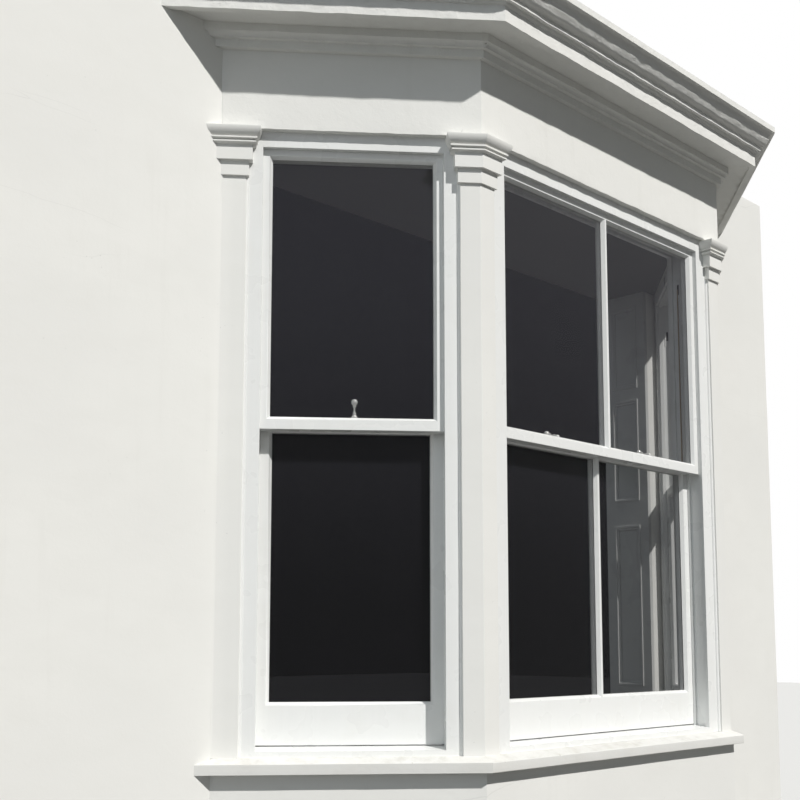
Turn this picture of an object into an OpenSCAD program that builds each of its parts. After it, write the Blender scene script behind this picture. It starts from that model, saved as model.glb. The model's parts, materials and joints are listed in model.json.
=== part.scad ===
// Canted bay window on a rendered base: three faces of double-hung sashes between
// pilasters, under a plain frieze and a run cornice with a flat lead roof.
// +X runs along the house wall, -Y points to the street, +Z is up, ground is z = 0.

/* [Plan of the bay] */
// Width of the front face between its two arrises
front_w = 1600; // [1400:10:2200]
// How far the front face stands out from the house wall
projection = 580; // [500:5:720]
// Angle between a side face and the house wall, in degrees
cant = 40; // [36:1:48]

/* [Walls] */
// Thickness of the base walls, brick and render
base_wall_t = 230; // [200:5:260]
// Thickness of the house wall
house_wall_t = 330; // [280:10:420]
// House wall kept beyond each end of the cornice
wall_margin = 450; // [60:10:600]
// House wall kept above the roof
wall_above = 260; // [160:10:500]
// Height of the floor inside above the ground
floor_z = 555; // [400:5:700]
// Thickness of the boarded floor
floor_t = 45; // [30:5:80]

/* [Sill] */
// Height of the top of the sill's nose above the ground
sill_top = 1170; // [1000:10:1400]
// Height of the sill's nose
sill_nose_h = 34; // [25:1:60]
// How far the sill stands out from the base walls
sill_out = 40; // [25:1:70]
// Rise of the weathered top of the sill from its nose to the pilasters
sill_rise = 16; // [8:1:26]

/* [Pilasters] */
// Width of an angle pilaster on each face that it turns onto
angle_pilaster_w = 76; // [60:1:100]
// Width of a pilaster against the house wall
wall_pilaster_w = 88; // [70:1:120]
// Set-back of a shaft behind the frieze and base walls
shaft_set = 8; // [3:1:12]
// Height of the capital's lower block
block_low_h = 52; // [35:1:70]
// Height of the capital's upper block
block_high_h = 52; // [35:1:70]
// Height of the two small steps under the ovolo
step_h = 12; // [6:1:16]
// Height of the ovolo that crowns the capital
ovolo_h = 35; // [24:1:50]
// Projection of the lower block beyond the shaft
block_low_out = 8; // [5:1:12]
// Projection of the upper block beyond the shaft
block_high_out = 20; // [16:1:25]
// Projection of the lower small step beyond the shaft
step_low_out = 30; // [27:1:33]
// Projection of the upper small step beyond the shaft
step_high_out = 38; // [35:1:41]
// Projection of the ovolo's top edge beyond the shaft
ovolo_out = 49; // [45:1:54]
// Plain neck between the ovolo and the underside of the frieze
neck_h = 6; // [4:1:24]

/* [Frieze and cornice] */
// Height of the frieze's underside above the top of the sill's nose
head_h = 2150; // [1900:10:2500]
// Height of the plain frieze
frieze_h = 282; // [200:2:400]
// Height of the flat fillet at the foot of the bed mould
bed_fillet_h = 28; // [12:1:40]
// Projection of that fillet
bed_fillet_out = 20; // [10:1:24]
// Radius of the hollow in the bed mould
bed_cove_r = 16; // [10:1:20]
// Height of the flat face over the hollow
bed_face_h = 28; // [12:1:40]
// Projection of the flat face over the hollow
bed_face_out = 52; // [46:1:60]
// Projection of the corona's face
corona_out = 162; // [140:1:190]
// Height of the corona's face
corona_h = 55; // [50:1:90]
// Depth by which the corona's lip hangs below the soffit
drip_h = 14; // [8:1:20]
// Width of that hanging lip
drip_w = 24; // [16:1:34]
// Radius of the quarter round on top of the corona
quarter_r = 10; // [10:1:20]
// Height of the small fillet under the cyma
cyma_fillet_h = 16; // [3:1:20]
// Projection of the small fillet beyond the quarter round
cyma_fillet_out = 14; // [4:1:16]
// Radius of the cyma's lower, rounded half
cyma_round_r = 33; // [16:1:38]
// Height of the flat band between the two halves of the cyma
cyma_flat_h = 4; // [4:1:30]
// Radius of the cyma's upper, hollow half
cyma_hollow_r = 20; // [16:1:44]
// Height of the fillet at the top of the cornice
top_fillet_h = 24; // [12:1:32]
// Projection of the top fillet beyond the cyma
top_fillet_out = 7; // [2:1:10]

/* [Roof] */
// Fall of the roof towards each face, in degrees
roof_fall = 1.5; // [1:0.25:3]
// Thickness of the sheet lead
lead_t = 5; // [4:1:8]
// Radius of the wood-cored rolls on the two hips
roll_r = 22; // [15:1:30]
// Height of the lead upstand against the house wall
upstand_h = 120; // [80:5:150]
// How far the rolls start back from the lead's edge
roll_back = 60; // [20:5:120]
// How far the lead stays back from the cornice's edge
lead_back = 6; // [3:1:20]
// Thickness of the roof boards
deck_t = 50; // [30:1:70]

/* [Window frames] */
// Set-back of the outer linings behind the frieze and base walls
lining_set = 24; // [14:1:30]
// Thickness of the outer linings
lining_t = 18; // [16:1:26]
// Width of a lining beside a side window
side_lining_w = 55; // [40:1:70]
// Width of a lining beside the front window
front_lining_w = 74; // [50:1:90]
// Height of the head lining that shows
head_lining_h = 55; // [40:1:80]
// How far the linings lap past the pulley stiles
lining_lap = 12; // [8:1:14]
// Thickness of the parting bead
parting_t = 10; // [8:1:14]
// How far the parting bead stands out of the pulley stile
parting_out = 9; // [6:1:11]
// Thickness of the staff bead behind the lower sash
staff_t = 18; // [12:1:24]
// Thickness of the inner linings
inner_lining_t = 12; // [8:1:20]
// Height of the timber sill's front edge
timber_sill_front_h = 19; // [14:1:24]
// Height of the timber sill under the lower sash
timber_sill_back_h = 28; // [26:1:40]

/* [Sashes] */
// Thickness of each sash
sash_t = 46; // [40:1:50]
// Width of an upper sash's stile, from its outer edge to the glass
stile_w = 44; // [40:1:56]
// Width of a lower sash's stile, from its outer edge to the glass
lower_stile_w = 51; // [44:1:64]
// Height of the upper sash's top rail
top_rail_h = 44; // [40:1:90]
// Height of each meeting rail
meeting_rail_h = 45; // [36:1:60]
// Height of the lower sash's bottom rail
bottom_rail_h = 146; // [80:1:170]
// Height of the meeting rails' underside above the top of the sill's nose
meeting_z = 1108; // [950:2:1250]
// Width of a glazing bar where it meets the glass
bar_w = 30; // [28:1:44]
// Width of the putty bevel, and of the moulding inside
bevel_w = 10; // [8:1:13]
// Depth of the glass behind the sash's outer face
glass_set = 15; // [12:1:18]
// Thickness of the glass
glass_t = 4; // [3:1:6]
// How far the glass enters its groove
glass_in = 6; // [4:1:7]
// Gap between a sash and what it slides in
sash_gap = 1; // [0.5:0.5:2]

/* [Sash fasteners] */
// Diameter of the fastener's knob
knob_d = 22; // [16:1:28]
// Length of the fastener's arm from its pivot to the knob's centre
arm_l = 44; // [34:1:60]
// Distance of the front window's fasteners from its middle
fastener_off = 315; // [200:5:380]
// Distance of a fastener's pivot behind the lower sash's outer face
fastener_in = 16; // [15:1:24]

/* [Inside] */
// Thickness of the panelled jamb linings
jamb_lining_t = 22; // [18:1:30]
// Depth by which their panels lie back
panel_set = 9; // [5:1:12]
// Width of the frame round their panels
panel_frame_w = 52; // [40:1:70]
// Width of the moulding round their panels
panel_mould_w = 20; // [12:1:26]
// Height of the lowest panel's foot above the floor
panel_foot = 132; // [100:2:180]
// Height of the panel behind the lower sash above the top of the sill's nose
panel_up = 180; // [120:5:260]
// Height of that panel
panel_h = 795; // [700:5:860]
// Height of the top panel's foot below the underside of the frieze
top_panel_down = 464; // [420:2:520]
// Height of a rail between two panels
panel_rail_h = 66; // [50:1:80]
// Height of the ceiling above the underside of the frieze
ceiling_up = 25; // [5:5:60]
// Thickness of the ceiling
ceiling_t = 25; // [15:1:40]
// Thickness of the window board
board_t = 24; // [18:1:34]
// How far the window board stands out from the base walls inside
board_out = 25; // [10:1:40]

/* [Hidden] */
$fn = 64;
far = 6000;
edge_lap = 2;
mould_lap = 4;

side_len = projection / sin(cant);
cyma_out = corona_out + quarter_r + cyma_fillet_out;
cornice_out = cyma_out + cyma_round_r + cyma_hollow_r + top_fillet_out;
frame_d = lining_set + lining_t + 2 * sash_t + 4 * sash_gap + parting_t + staff_t + inner_lining_t;
bond_d = frame_d * cos(cant) - wall_pilaster_w * sin(cant);

frieze_z = sill_top + head_h;
cornice_z = frieze_z + frieze_h;
bed_cove_z = bed_fillet_h + bed_cove_r;
soffit_z = bed_cove_z + bed_face_h;
corona_z = soffit_z - drip_h;
corona_top_z = corona_z + corona_h;
cyma_z = corona_top_z + quarter_r + cyma_fillet_h;
cyma_mid_z = cyma_z + cyma_round_r;
cyma_flat_z = cyma_mid_z + cyma_flat_h;
cyma_top_z = cyma_flat_z + cyma_hollow_r;
cornice_h = cyma_top_z + top_fillet_h;
cornice_top = cornice_z + cornice_h;
roof_rise = (cornice_out + projection) * tan(roof_fall);
wall_top = cornice_top + wall_above;
wall_half = wall_x(cornice_out) + wall_margin;
jamb_x = wall_x(-base_wall_t, bond_d);
// puts the origin under the middle of the whole box
centre_y = (projection + cornice_out - house_wall_t) / 2;

// the steps of a capital from its foot up: projection beyond the shaft, height
capital_steps = [[block_low_out, block_low_h], [block_high_out, block_high_h],
  [step_low_out, step_h], [step_high_out, step_h]];
function step_z(i) = i == 0 ? 0 : step_z(i - 1) + capital_steps[i - 1][1];
ovolo_z = step_z(4);

pilaster_z = sill_top + sill_rise;
capital_h = step_z(4) + ovolo_h;
capital_z = frieze_z - neck_h - capital_h;
ovolo_foot = step_high_out + 1;
ovolo_r = (pow(ovolo_out - ovolo_foot, 2) + pow(ovolo_h, 2)) / (2 * (ovolo_out - ovolo_foot));

head_z = frieze_z - head_lining_h;
timber_top = pilaster_z + timber_sill_back_h;
upper_face = lining_set + lining_t + sash_gap;
parting_d = upper_face + sash_t + sash_gap;
lower_face = parting_d + parting_t + sash_gap;
staff_d = lower_face + sash_t + sash_gap;
meeting = sill_top + meeting_z;
ceiling_z = frieze_z + ceiling_up;
opening_top = ceiling_z + jamb_lining_t;

FACES = ["left", "front", "right"];

// half width of the front face at offset d outside the base walls
function arris_x(d) = front_w / 2 + d * tan(cant / 2);
function face_y(d) = -(projection + d);
// where a side face at offset d meets a plane y behind the house wall's face
function wall_x(d, y = 0) = arris_x(d) + (projection + d + y) / tan(cant);
function face_w(face) = face == "front" ? front_w : side_len;
// ends of the opening between two pilasters, along the face from its middle
function clear_left(face) = -face_w(face) / 2 + (face == "front" ? angle_pilaster_w : wall_pilaster_w);
function clear_right(face) = face_w(face) / 2 - angle_pilaster_w;
function clear_w(face) = clear_right(face) - clear_left(face);
function clear_mid(face) = (clear_right(face) + clear_left(face)) / 2;
function lining_w(face) = face == "front" ? front_lining_w : side_lining_w;
// sashes are made to a whole millimetre
function sash_w(face) = floor(clear_w(face) - 2 * (lining_w(face) - lining_lap + sash_gap));
function bar_count(face) = face == "front" ? 1 : 0;

// moves the whole bay so that the origin lies under the middle of its box
module placed() {
  translate([0, centre_y, 0]) children();
}

// local frame of a face: x along it from its middle, -y outwards, z up
module on_face(face) {
  if (face == "front") {
    translate([0, -projection, 0]) children();
  } else if (face == "left") {
    translate([-front_w / 2, -projection, 0]) rotate([0, 0, -cant])
      translate([-side_len / 2, 0, 0]) children();
  } else {
    mirror([1, 0, 0]) on_face("left") children();
  }
}

module sided(side) {
  if (side == "left") children();
  else mirror([1, 0, 0]) children();
}

// plan of one face's share of a band that runs round the bay, mitred at the arrises
module band(face, out, in) {
  if (face == "front") {
    polygon([[-arris_x(out), face_y(out)], [arris_x(out), face_y(out)],
      [arris_x(in), face_y(in)], [-arris_x(in), face_y(in)]]);
  } else {
    sided(face) polygon([[-arris_x(out), face_y(out)], [-arris_x(in), face_y(in)],
      [-wall_x(in, bond_d), bond_d], [-wall_x(0), bond_d], [-wall_x(0), 0], [-wall_x(out), 0]]);
  }
}

// a profile drawn with x outwards and y up, run along a face
module run(face) {
  on_face(face) rotate([90, 0, -90]) linear_extrude(far, center = true) children();
}

// a board standing on edge: x along the face, d behind the base walls, z up
module board(x0, x1, d0, d1, z0, z1) {
  translate([x0, d0, z0]) cube([x1 - x0, d1 - d0, z1 - z0]);
}

module house_wall_side(side) {
  color("whitesmoke") placed() sided(side) linear_extrude(wall_top)
    polygon([[-wall_half, 0], [-wall_x(0), 0], [-wall_x(0), bond_d], [-jamb_x, bond_d],
      [-jamb_x, house_wall_t], [-wall_half, house_wall_t]]);
}

module house_wall_over() {
  over_roof = cornice_top + roof_rise;
  over_ceiling = ceiling_z + ceiling_t;
  color("whitesmoke") placed() {
    translate([-jamb_x, bond_d, opening_top])
      cube([2 * jamb_x, house_wall_t - bond_d, wall_top - opening_top]);
    translate([-wall_x(0), 0, over_roof]) cube([2 * wall_x(0), bond_d, wall_top - over_roof]);
    translate([0, 0, over_ceiling]) linear_extrude(over_roof - over_ceiling)
      polygon([[-wall_x(-frame_d), 0], [wall_x(-frame_d), 0],
        [wall_x(-frame_d, bond_d), bond_d], [-wall_x(-frame_d, bond_d), bond_d]]);
  }
}

module house_wall_below() {
  color("whitesmoke") placed() translate([-jamb_x, bond_d, 0])
    cube([2 * jamb_x, house_wall_t - bond_d, floor_z - floor_t]);
}

module base_wall(face) {
  color("whitesmoke") placed() linear_extrude(sill_top - sill_nose_h) band(face, 0, -base_wall_t);
}

module sill(face) {
  color("whitesmoke") placed() intersection() {
    linear_extrude(pilaster_z + 1) band(face, sill_out, -base_wall_t);
    run(face) polygon([[sill_out, sill_top - sill_nose_h], [sill_out, sill_top],
      [-shaft_set, pilaster_z], [-far, pilaster_z], [-far, sill_top - sill_nose_h]]);
  }
}

// plan of the post behind an angle pilaster; grow widens it on both faces
module angle_plan(out, in, grow) {
  w = angle_pilaster_w + grow;
  intersection() {
    polygon([[-far, face_y(out)], [-arris_x(out), face_y(out)], [-front_w / 2 + w, face_y(out)],
      [-front_w / 2 + w, far], [-far, far]]);
    translate([-front_w / 2, -projection]) rotate(-cant)
      translate([-w, -out]) square([far, far]);
    difference() {
      translate([-far, -far]) square(2 * far);
      difference() {
        translate([-far, face_y(in)]) square([2 * far, far]);
        translate([-front_w / 2, -projection]) rotate(-cant)
          translate([-far, -in - far]) square([2 * far, far]);
      }
    }
  }
}

// plan of the post behind a wall pilaster, bonded into the house wall
module wall_plan(out, in) {
  intersection() {
    band("left", out, in);
    translate([-front_w / 2, -projection]) rotate(-cant)
      translate([-side_len - far + wall_pilaster_w, -far]) square([far, 2 * far]);
  }
}

module angle_pilaster(side) {
  color("whitesmoke") placed() sided(side) translate([0, 0, pilaster_z])
    linear_extrude(capital_z - pilaster_z) angle_plan(-shaft_set, -frame_d, 0);
}

module wall_pilaster(side) {
  color("whitesmoke") placed() sided(side) translate([0, 0, pilaster_z])
    linear_extrude(capital_z - pilaster_z) wall_plan(-shaft_set, -frame_d);
}

// outline of the ovolo: x outwards from the shaft's face, y up
module ovolo_profile() {
  translate([-far, 0]) square([far + ovolo_out - ovolo_r, ovolo_h]);
  intersection() {
    translate([ovolo_out - ovolo_r, ovolo_h]) circle(ovolo_r, $fn = 96);
    translate([ovolo_out - ovolo_r - 1, 0]) square([ovolo_r + 1, ovolo_h]);
  }
}

module ovolo_run() {
  rotate([90, 0, -90]) linear_extrude(far, center = true) ovolo_profile();
}

// moves children onto the left side's shaft plane, x along it from the arris
module at_side_shaft() {
  translate([-front_w / 2, -projection, 0]) rotate([0, 0, -cant]) translate([0, shaft_set, 0]) children();
}

// plan of one step of a capital: the post between the linings, and the moulding round it
module angle_step(out) {
  angle_plan(-lining_set, -frame_d, 0);
  angle_plan(out - shaft_set, -lining_set, out);
}

module wall_step(out) {
  wall_plan(-lining_set, -frame_d);
  intersection() {
    translate([-far, -far]) square([2 * far, far]);
    translate([-front_w / 2, -projection]) rotate(-cant) translate([-side_len - far, shaft_set - out])
      square([far + wall_pilaster_w + out, lining_set - shaft_set + out]);
  }
}

module angle_capital(side) {
  color("whitesmoke") placed() sided(side) translate([0, 0, capital_z]) {
    for (i = [0:3]) translate([0, 0, step_z(i)]) linear_extrude(capital_steps[i][1])
      angle_step(capital_steps[i][0]);
    translate([0, 0, ovolo_z]) intersection() {
      linear_extrude(ovolo_h) angle_step(ovolo_out + 5);
      translate([0, -projection + shaft_set, 0]) ovolo_run();
      at_side_shaft() ovolo_run();
      translate([-front_w / 2 + angle_pilaster_w, -projection, 0]) rotate([0, 0, 90]) ovolo_run();
      at_side_shaft() translate([-angle_pilaster_w, 0, 0]) rotate([0, 0, -90]) ovolo_run();
    }
    translate([0, 0, ovolo_z + ovolo_h - 1]) linear_extrude(neck_h + 1) angle_step(shaft_set);
  }
}

module wall_capital(side) {
  color("whitesmoke") placed() sided(side) translate([0, 0, capital_z]) {
    for (i = [0:3]) translate([0, 0, step_z(i)]) linear_extrude(capital_steps[i][1])
      wall_step(capital_steps[i][0]);
    translate([0, 0, ovolo_z]) intersection() {
      linear_extrude(ovolo_h) wall_step(ovolo_out + 5);
      at_side_shaft() translate([-side_len, 0, 0]) ovolo_run();
      at_side_shaft() translate([-side_len + wall_pilaster_w, 0, 0]) rotate([0, 0, 90]) ovolo_run();
    }
    translate([0, 0, ovolo_z + ovolo_h - 1]) linear_extrude(neck_h + 1) wall_step(shaft_set);
  }
}

module frieze(face) {
  color("whitesmoke") placed() translate([0, 0, frieze_z])
    linear_extrude(frieze_h) band(face, 0, -frame_d);
}

// half section of the cornice: x outwards from the frieze, y up from its top
module cornice_profile() {
  cyma_face = cyma_out + cyma_round_r;
  cyma_foot = corona_top_z + quarter_r;
  rise = (cornice_out + frame_d) * tan(roof_fall);
  difference() {
    union() {
      translate([-far, 0]) square([far + bed_fillet_out, bed_fillet_h]);
      translate([-far, bed_fillet_h]) square([far + bed_face_out, soffit_z - bed_fillet_h]);
      translate([-far, soffit_z]) square([far + corona_out, corona_top_z - soffit_z]);
      translate([corona_out - drip_w, corona_z]) square([drip_w, corona_h]);
      translate([-far, corona_top_z]) square([far + corona_out, quarter_r]);
      translate([corona_out, cyma_foot]) circle(quarter_r);
      translate([-far, cyma_foot]) square([far + cyma_out, cyma_mid_z - cyma_foot]);
      translate([cyma_out, cyma_mid_z]) circle(cyma_round_r);
      translate([-far, cyma_mid_z]) square([far + cyma_face, cyma_flat_h]);
      translate([-far, cyma_flat_z]) square([far + cyma_face + cyma_hollow_r, cyma_hollow_r]);
      polygon([[-far, cyma_top_z], [cornice_out, cyma_top_z], [cornice_out, cornice_h],
        [-frame_d, cornice_h + rise], [-far, cornice_h + rise]]);
    }
    translate([bed_face_out, bed_fillet_h]) circle(bed_cove_r);
    translate([cyma_face + cyma_hollow_r, cyma_flat_z]) circle(cyma_hollow_r);
  }
}

module cornice(face) {
  color("whitesmoke") placed() intersection() {
    translate([0, 0, cornice_z]) linear_extrude(cornice_h + roof_rise) band(face, cornice_out, -frame_d);
    translate([0, 0, cornice_z]) run(face) cornice_profile();
  }
}

// a layer that falls to each face, between two heights above the cornice's top edge
module falling(out, z0, z1) {
  eaves = (cornice_out - out) * tan(roof_fall);
  wx = wall_x(out);
  ax = arris_x(out);
  rx = arris_x(-projection);
  plan = [[-wx, 0, eaves], [-ax, face_y(out), eaves], [ax, face_y(out), eaves], [wx, 0, eaves],
    [rx, 0, roof_rise], [-rx, 0, roof_rise]];
  top = [for (p = plan) p + [0, 0, cornice_top + z1]];
  foot = [for (p = plan) p + [0, 0, cornice_top + z0]];
  polyhedron(concat(top, foot), [[0, 5, 1], [1, 5, 4, 2], [2, 4, 3], [6, 7, 11], [7, 8, 10, 11], [8, 9, 10],
    [0, 1, 7, 6], [1, 2, 8, 7], [2, 3, 9, 8], [3, 4, 10, 9], [4, 5, 11, 10], [5, 0, 6, 11]]);
}

module roof_deck() {
  color("burlywood") placed() falling(-frame_d, -deck_t, 0);
}

// a wood-cored roll dressed along the hip over one arris
module hip_roll(edge) {
  reach = (edge + projection) / cos(cant / 2);
  short = roll_r * tan(cant / 2);
  translate([-arris_x(edge), face_y(edge), cornice_top + lead_t])
    rotate([0, 0, 90 - cant / 2]) rotate([0, 90 - atan(tan(roof_fall) * cos(cant / 2)), 0])
      translate([0, 0, roll_back]) linear_extrude(reach - roll_back - short - lead_t / 2) intersection() {
        circle(roll_r);
        translate([-2 * roll_r, -2 * roll_r]) square([2 * roll_r + 1, 4 * roll_r]);
      }
}

module lead_roof() {
  edge = cornice_out - lead_back;
  wx = wall_x(edge);
  ax = arris_x(-projection);
  foot = lead_t - 1;
  color("dimgray") placed() {
    falling(edge, 0, lead_t);
    hip_roll(edge);
    mirror([1, 0, 0]) hip_roll(edge);
    translate([0, 0, cornice_top]) rotate([90, 0, 0]) linear_extrude(lead_t)
      polygon([[-wx, foot], [-ax, roof_rise + foot], [ax, roof_rise + foot], [wx, foot],
        [wx, upstand_h], [ax, roof_rise + upstand_h], [-ax, roof_rise + upstand_h], [-wx, upstand_h]]);
  }
}

// section of a box frame's side: x from the pilaster to the opening, y into the house
module jamb_section(w) {
  stile = w - lining_lap;
  translate([0, lining_set]) square([w, lining_t]);
  translate([0, lining_set + lining_t]) square([stile, frame_d - lining_set - lining_t]);
  translate([0, parting_d]) square([stile + parting_out, parting_t]);
  translate([0, staff_d]) square([w, staff_t]);
}

module window_frame(face) {
  l = clear_left(face);
  r = clear_right(face);
  w = lining_w(face);
  color("white") placed() on_face(face) {
    translate([l, 0, pilaster_z]) linear_extrude(frieze_z - pilaster_z) jamb_section(w);
    translate([r, 0, pilaster_z]) mirror([1, 0, 0])
      linear_extrude(frieze_z - pilaster_z) jamb_section(w);
    translate([clear_mid(face), 0, frieze_z]) rotate([0, 90, 0])
      linear_extrude(r - l - 2, center = true) jamb_section(head_lining_h);
    translate([clear_mid(face), 0, pilaster_z]) rotate([90, 0, 90])
      linear_extrude(r - l - 2 * (w - lining_lap) + 2, center = true)
        polygon([[lining_set, 0], [lining_set, timber_sill_front_h], [lower_face, timber_sill_back_h],
          [frame_d, timber_sill_back_h], [frame_d, 0]]);
  }
}

// section of the moulded edge of a sash, lapped into the plain wood behind it: x from the
// glass edge into the wood, y inwards
module edge_section() {
  lap = bevel_w + edge_lap;
  polygon([[bevel_w, 0], [lap, 0], [lap, sash_t], [bevel_w * 0.7, sash_t], [0, sash_t - bevel_w],
    [0, glass_set + glass_t], [glass_in, glass_set + glass_t], [glass_in, glass_set], [0, glass_set]]);
}

// one side of a mitred frame round a pane w by h, drawn along the bottom edge
module pane_side(w, reach) {
  intersection() {
    rotate([90, 0, 90]) linear_extrude(w + 2 * reach, center = true) rotate(-90) children();
    translate([0, far / 2, 0]) rotate([90, 0, 0]) linear_extrude(far)
      polygon([[-w / 2, 0], [w / 2, 0], [w / 2 + reach, -reach], [-w / 2 - reach, -reach]]);
  }
}

// a mitred frame of one section round a pane, its middle at the origin
module pane_ring(w, h, reach) {
  for (i = [0, 1]) mirror([0, 0, i]) translate([0, 0, -h / 2]) pane_side(w, reach) children();
  for (i = [0, 1]) mirror([i, 0, 0]) translate([-w / 2, 0, 0]) rotate([0, 90, 0])
    pane_side(h, reach) children();
}

// a sash of width w from z0 to z1, its outer face at y = 0
module sash(w, z0, z1, stile, top_h, bottom_h, bars) {
  glass_w = w - 2 * stile;
  pane_w = (glass_w - bars * bar_w) / (bars + 1);
  pane_h = z1 - z0 - top_h - bottom_h;
  pane_z = z0 + bottom_h + pane_h / 2;
  difference() {
    board(-w / 2, w / 2, 0, sash_t, z0, z1);
    board(-glass_w / 2 - bevel_w, glass_w / 2 + bevel_w, -1, sash_t + 1,
      z0 + bottom_h - bevel_w, z1 - top_h + bevel_w);
  }
  for (i = [0:bars]) translate([(i - bars / 2) * (pane_w + bar_w), 0, pane_z])
    pane_ring(pane_w, pane_h, bevel_w + edge_lap) edge_section();
  for (i = [1:1:bars]) translate([(i - (bars + 1) / 2) * (pane_w + bar_w), 0, 0])
    board(-bar_w / 2 + bevel_w, bar_w / 2 - bevel_w, 0, sash_t,
      z0 + bottom_h - bevel_w, z1 - top_h + bevel_w);
}

module upper_sash(face) {
  color("white") placed() on_face(face) translate([clear_mid(face), upper_face, 0])
    sash(sash_w(face), meeting, head_z + lining_lap, stile_w, top_rail_h, meeting_rail_h,
      bar_count(face));
}

module lower_sash(face) {
  color("white") placed() on_face(face) translate([clear_mid(face), lower_face, 0])
    sash(sash_w(face), timber_top, meeting + meeting_rail_h, lower_stile_w, meeting_rail_h,
      bottom_rail_h, bar_count(face));
}

module panes(face, stile, z0, z1) {
  bars = bar_count(face);
  pane_w = (sash_w(face) - 2 * stile - bars * bar_w) / (bars + 1);
  for (i = [0:bars]) translate([(i - bars / 2) * (pane_w + bar_w), 0, 0])
    board(-pane_w / 2 - glass_in, pane_w / 2 + glass_in, glass_set, glass_set + glass_t,
      z0 - glass_in, z1 + glass_in);
}

module glass(face) {
  color("slategray", 0.5) placed() on_face(face) translate([clear_mid(face), 0, 0]) {
    translate([0, upper_face, 0])
      panes(face, stile_w, meeting + meeting_rail_h, head_z + lining_lap - top_rail_h);
    translate([0, lower_face, 0])
      panes(face, lower_stile_w, timber_top + bottom_rail_h, meeting);
  }
}

// a fastener on top of the lower sash's meeting rail; tilt lays its arm over into the house
module fastener(tilt) {
  plate_t = 3;
  post_h = 12;
  translate([-9, -14, 0]) cube([18, 28, plate_t]);
  translate([0, 0, plate_t]) cylinder(post_h - plate_t, d = 12);
  translate([0, 0, post_h - 4]) rotate([-tilt, 0, 0]) {
    cylinder(arm_l, d = 7);
    translate([0, 0, arm_l]) sphere(d = knob_d);
  }
}

module sash_fasteners() {
  color("silver") placed() {
    for (face = ["left", "right"]) on_face(face)
      translate([clear_mid(face), lower_face + fastener_in, meeting + meeting_rail_h]) fastener(0);
    for (s = [-1, 1]) on_face("front")
      translate([s * fastener_off, lower_face + fastener_in, meeting + meeting_rail_h]) fastener(78);
  }
}

module window_board() {
  o = -frame_d;
  i = -base_wall_t - board_out;
  color("white") placed() translate([0, 0, pilaster_z]) linear_extrude(board_t)
    polygon([[-wall_x(o, bond_d), bond_d], [-arris_x(o), face_y(o)], [arris_x(o), face_y(o)],
      [wall_x(o, bond_d), bond_d], [wall_x(i, bond_d), bond_d], [arris_x(i), face_y(i)],
      [-arris_x(i), face_y(i)], [-wall_x(i, bond_d), bond_d]]);
}

// moulding lapped over a panel's edge: x from the panel outwards, y into the wall
module panel_mould() {
  lap = panel_mould_w + mould_lap;
  deep = panel_set + 1;
  polygon([[0, deep], [0, 5], [5, 0], [11, 0], [13, -5], [lap, -5], [lap, deep]]);
}

// a panelled board on the local xz plane, from x0 to x1, with panels a whole number of
// millimetres wide between the heights in panels
module panelled(x0, x1, z0, z1, panels) {
  panel_w = floor(x1 - x0 - 2 * panel_frame_w);
  px0 = (x0 + x1 - panel_w) / 2;
  difference() {
    board(x0, x1, 0, jamb_lining_t, z0, z1);
    for (p = panels) board(px0, px0 + panel_w, -1, panel_set, p[0], p[1]);
  }
  for (p = panels)
    translate([(x0 + x1) / 2, 0, (p[0] + p[1]) / 2])
      pane_ring(panel_w - 2 * panel_mould_w, p[1] - p[0] - 2 * panel_mould_w, panel_mould_w + mould_lap)
        panel_mould();
}

module jamb_lining(side) {
  w = house_wall_t - bond_d;
  top = opening_top - jamb_lining_t;
  low = sill_top + panel_up;
  mid = low + panel_h + 2 * panel_rail_h;
  high = frieze_z - top_panel_down;
  panels = [[floor_z + panel_foot, low - 2 * panel_rail_h], [low, low + panel_h],
    [mid, high - panel_rail_h], [high, top - panel_rail_h]];
  color("white") placed() sided(side) translate([-jamb_x + jamb_lining_t, bond_d, 0])
    rotate([0, 0, 90]) panelled(0, w, floor_z, top, panels);
}

module opening_soffit() {
  color("white") placed() translate([-jamb_x, bond_d, opening_top - jamb_lining_t])
    cube([2 * jamb_x, house_wall_t - bond_d, jamb_lining_t]);
}

module ceiling_plaster() {
  in = -frame_d;
  color("whitesmoke") placed() translate([0, 0, ceiling_z]) linear_extrude(ceiling_t)
    polygon([[-arris_x(in), face_y(in)], [arris_x(in), face_y(in)],
      [wall_x(in, bond_d), bond_d], [-wall_x(in, bond_d), bond_d]]);
}

module floor_boards() {
  in = -base_wall_t;
  color("burlywood") placed() translate([0, 0, floor_z - floor_t]) linear_extrude(floor_t)
    polygon([[-arris_x(in), face_y(in)], [arris_x(in), face_y(in)], [jamb_x, bond_d],
      [jamb_x, house_wall_t], [-jamb_x, house_wall_t], [-jamb_x, bond_d]]);
}

house_wall_side("left");  // house_wall_left
house_wall_side("right");  // house_wall_right
house_wall_over();
house_wall_below();
base_wall("left");  // base_wall_left
base_wall("front");  // base_wall_front
base_wall("right");  // base_wall_right
sill("left");  // sill_left
sill("front");  // sill_front
sill("right");  // sill_right
wall_pilaster("left");  // wall_pilaster_left
wall_pilaster("right");  // wall_pilaster_right
angle_pilaster("left");  // angle_pilaster_left
angle_pilaster("right");  // angle_pilaster_right
wall_capital("left");  // wall_capital_left
wall_capital("right");  // wall_capital_right
angle_capital("left");  // angle_capital_left
angle_capital("right");  // angle_capital_right
frieze("left");  // frieze_left
frieze("front");  // frieze_front
frieze("right");  // frieze_right
cornice("left");  // cornice_left
cornice("front");  // cornice_front
cornice("right");  // cornice_right
roof_deck();
lead_roof();
window_frame("left");  // window_frame_left
window_frame("front");  // window_frame_front
window_frame("right");  // window_frame_right
upper_sash("left");  // upper_sash_left
upper_sash("front");  // upper_sash_front
upper_sash("right");  // upper_sash_right
lower_sash("left");  // lower_sash_left
lower_sash("front");  // lower_sash_front
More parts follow.
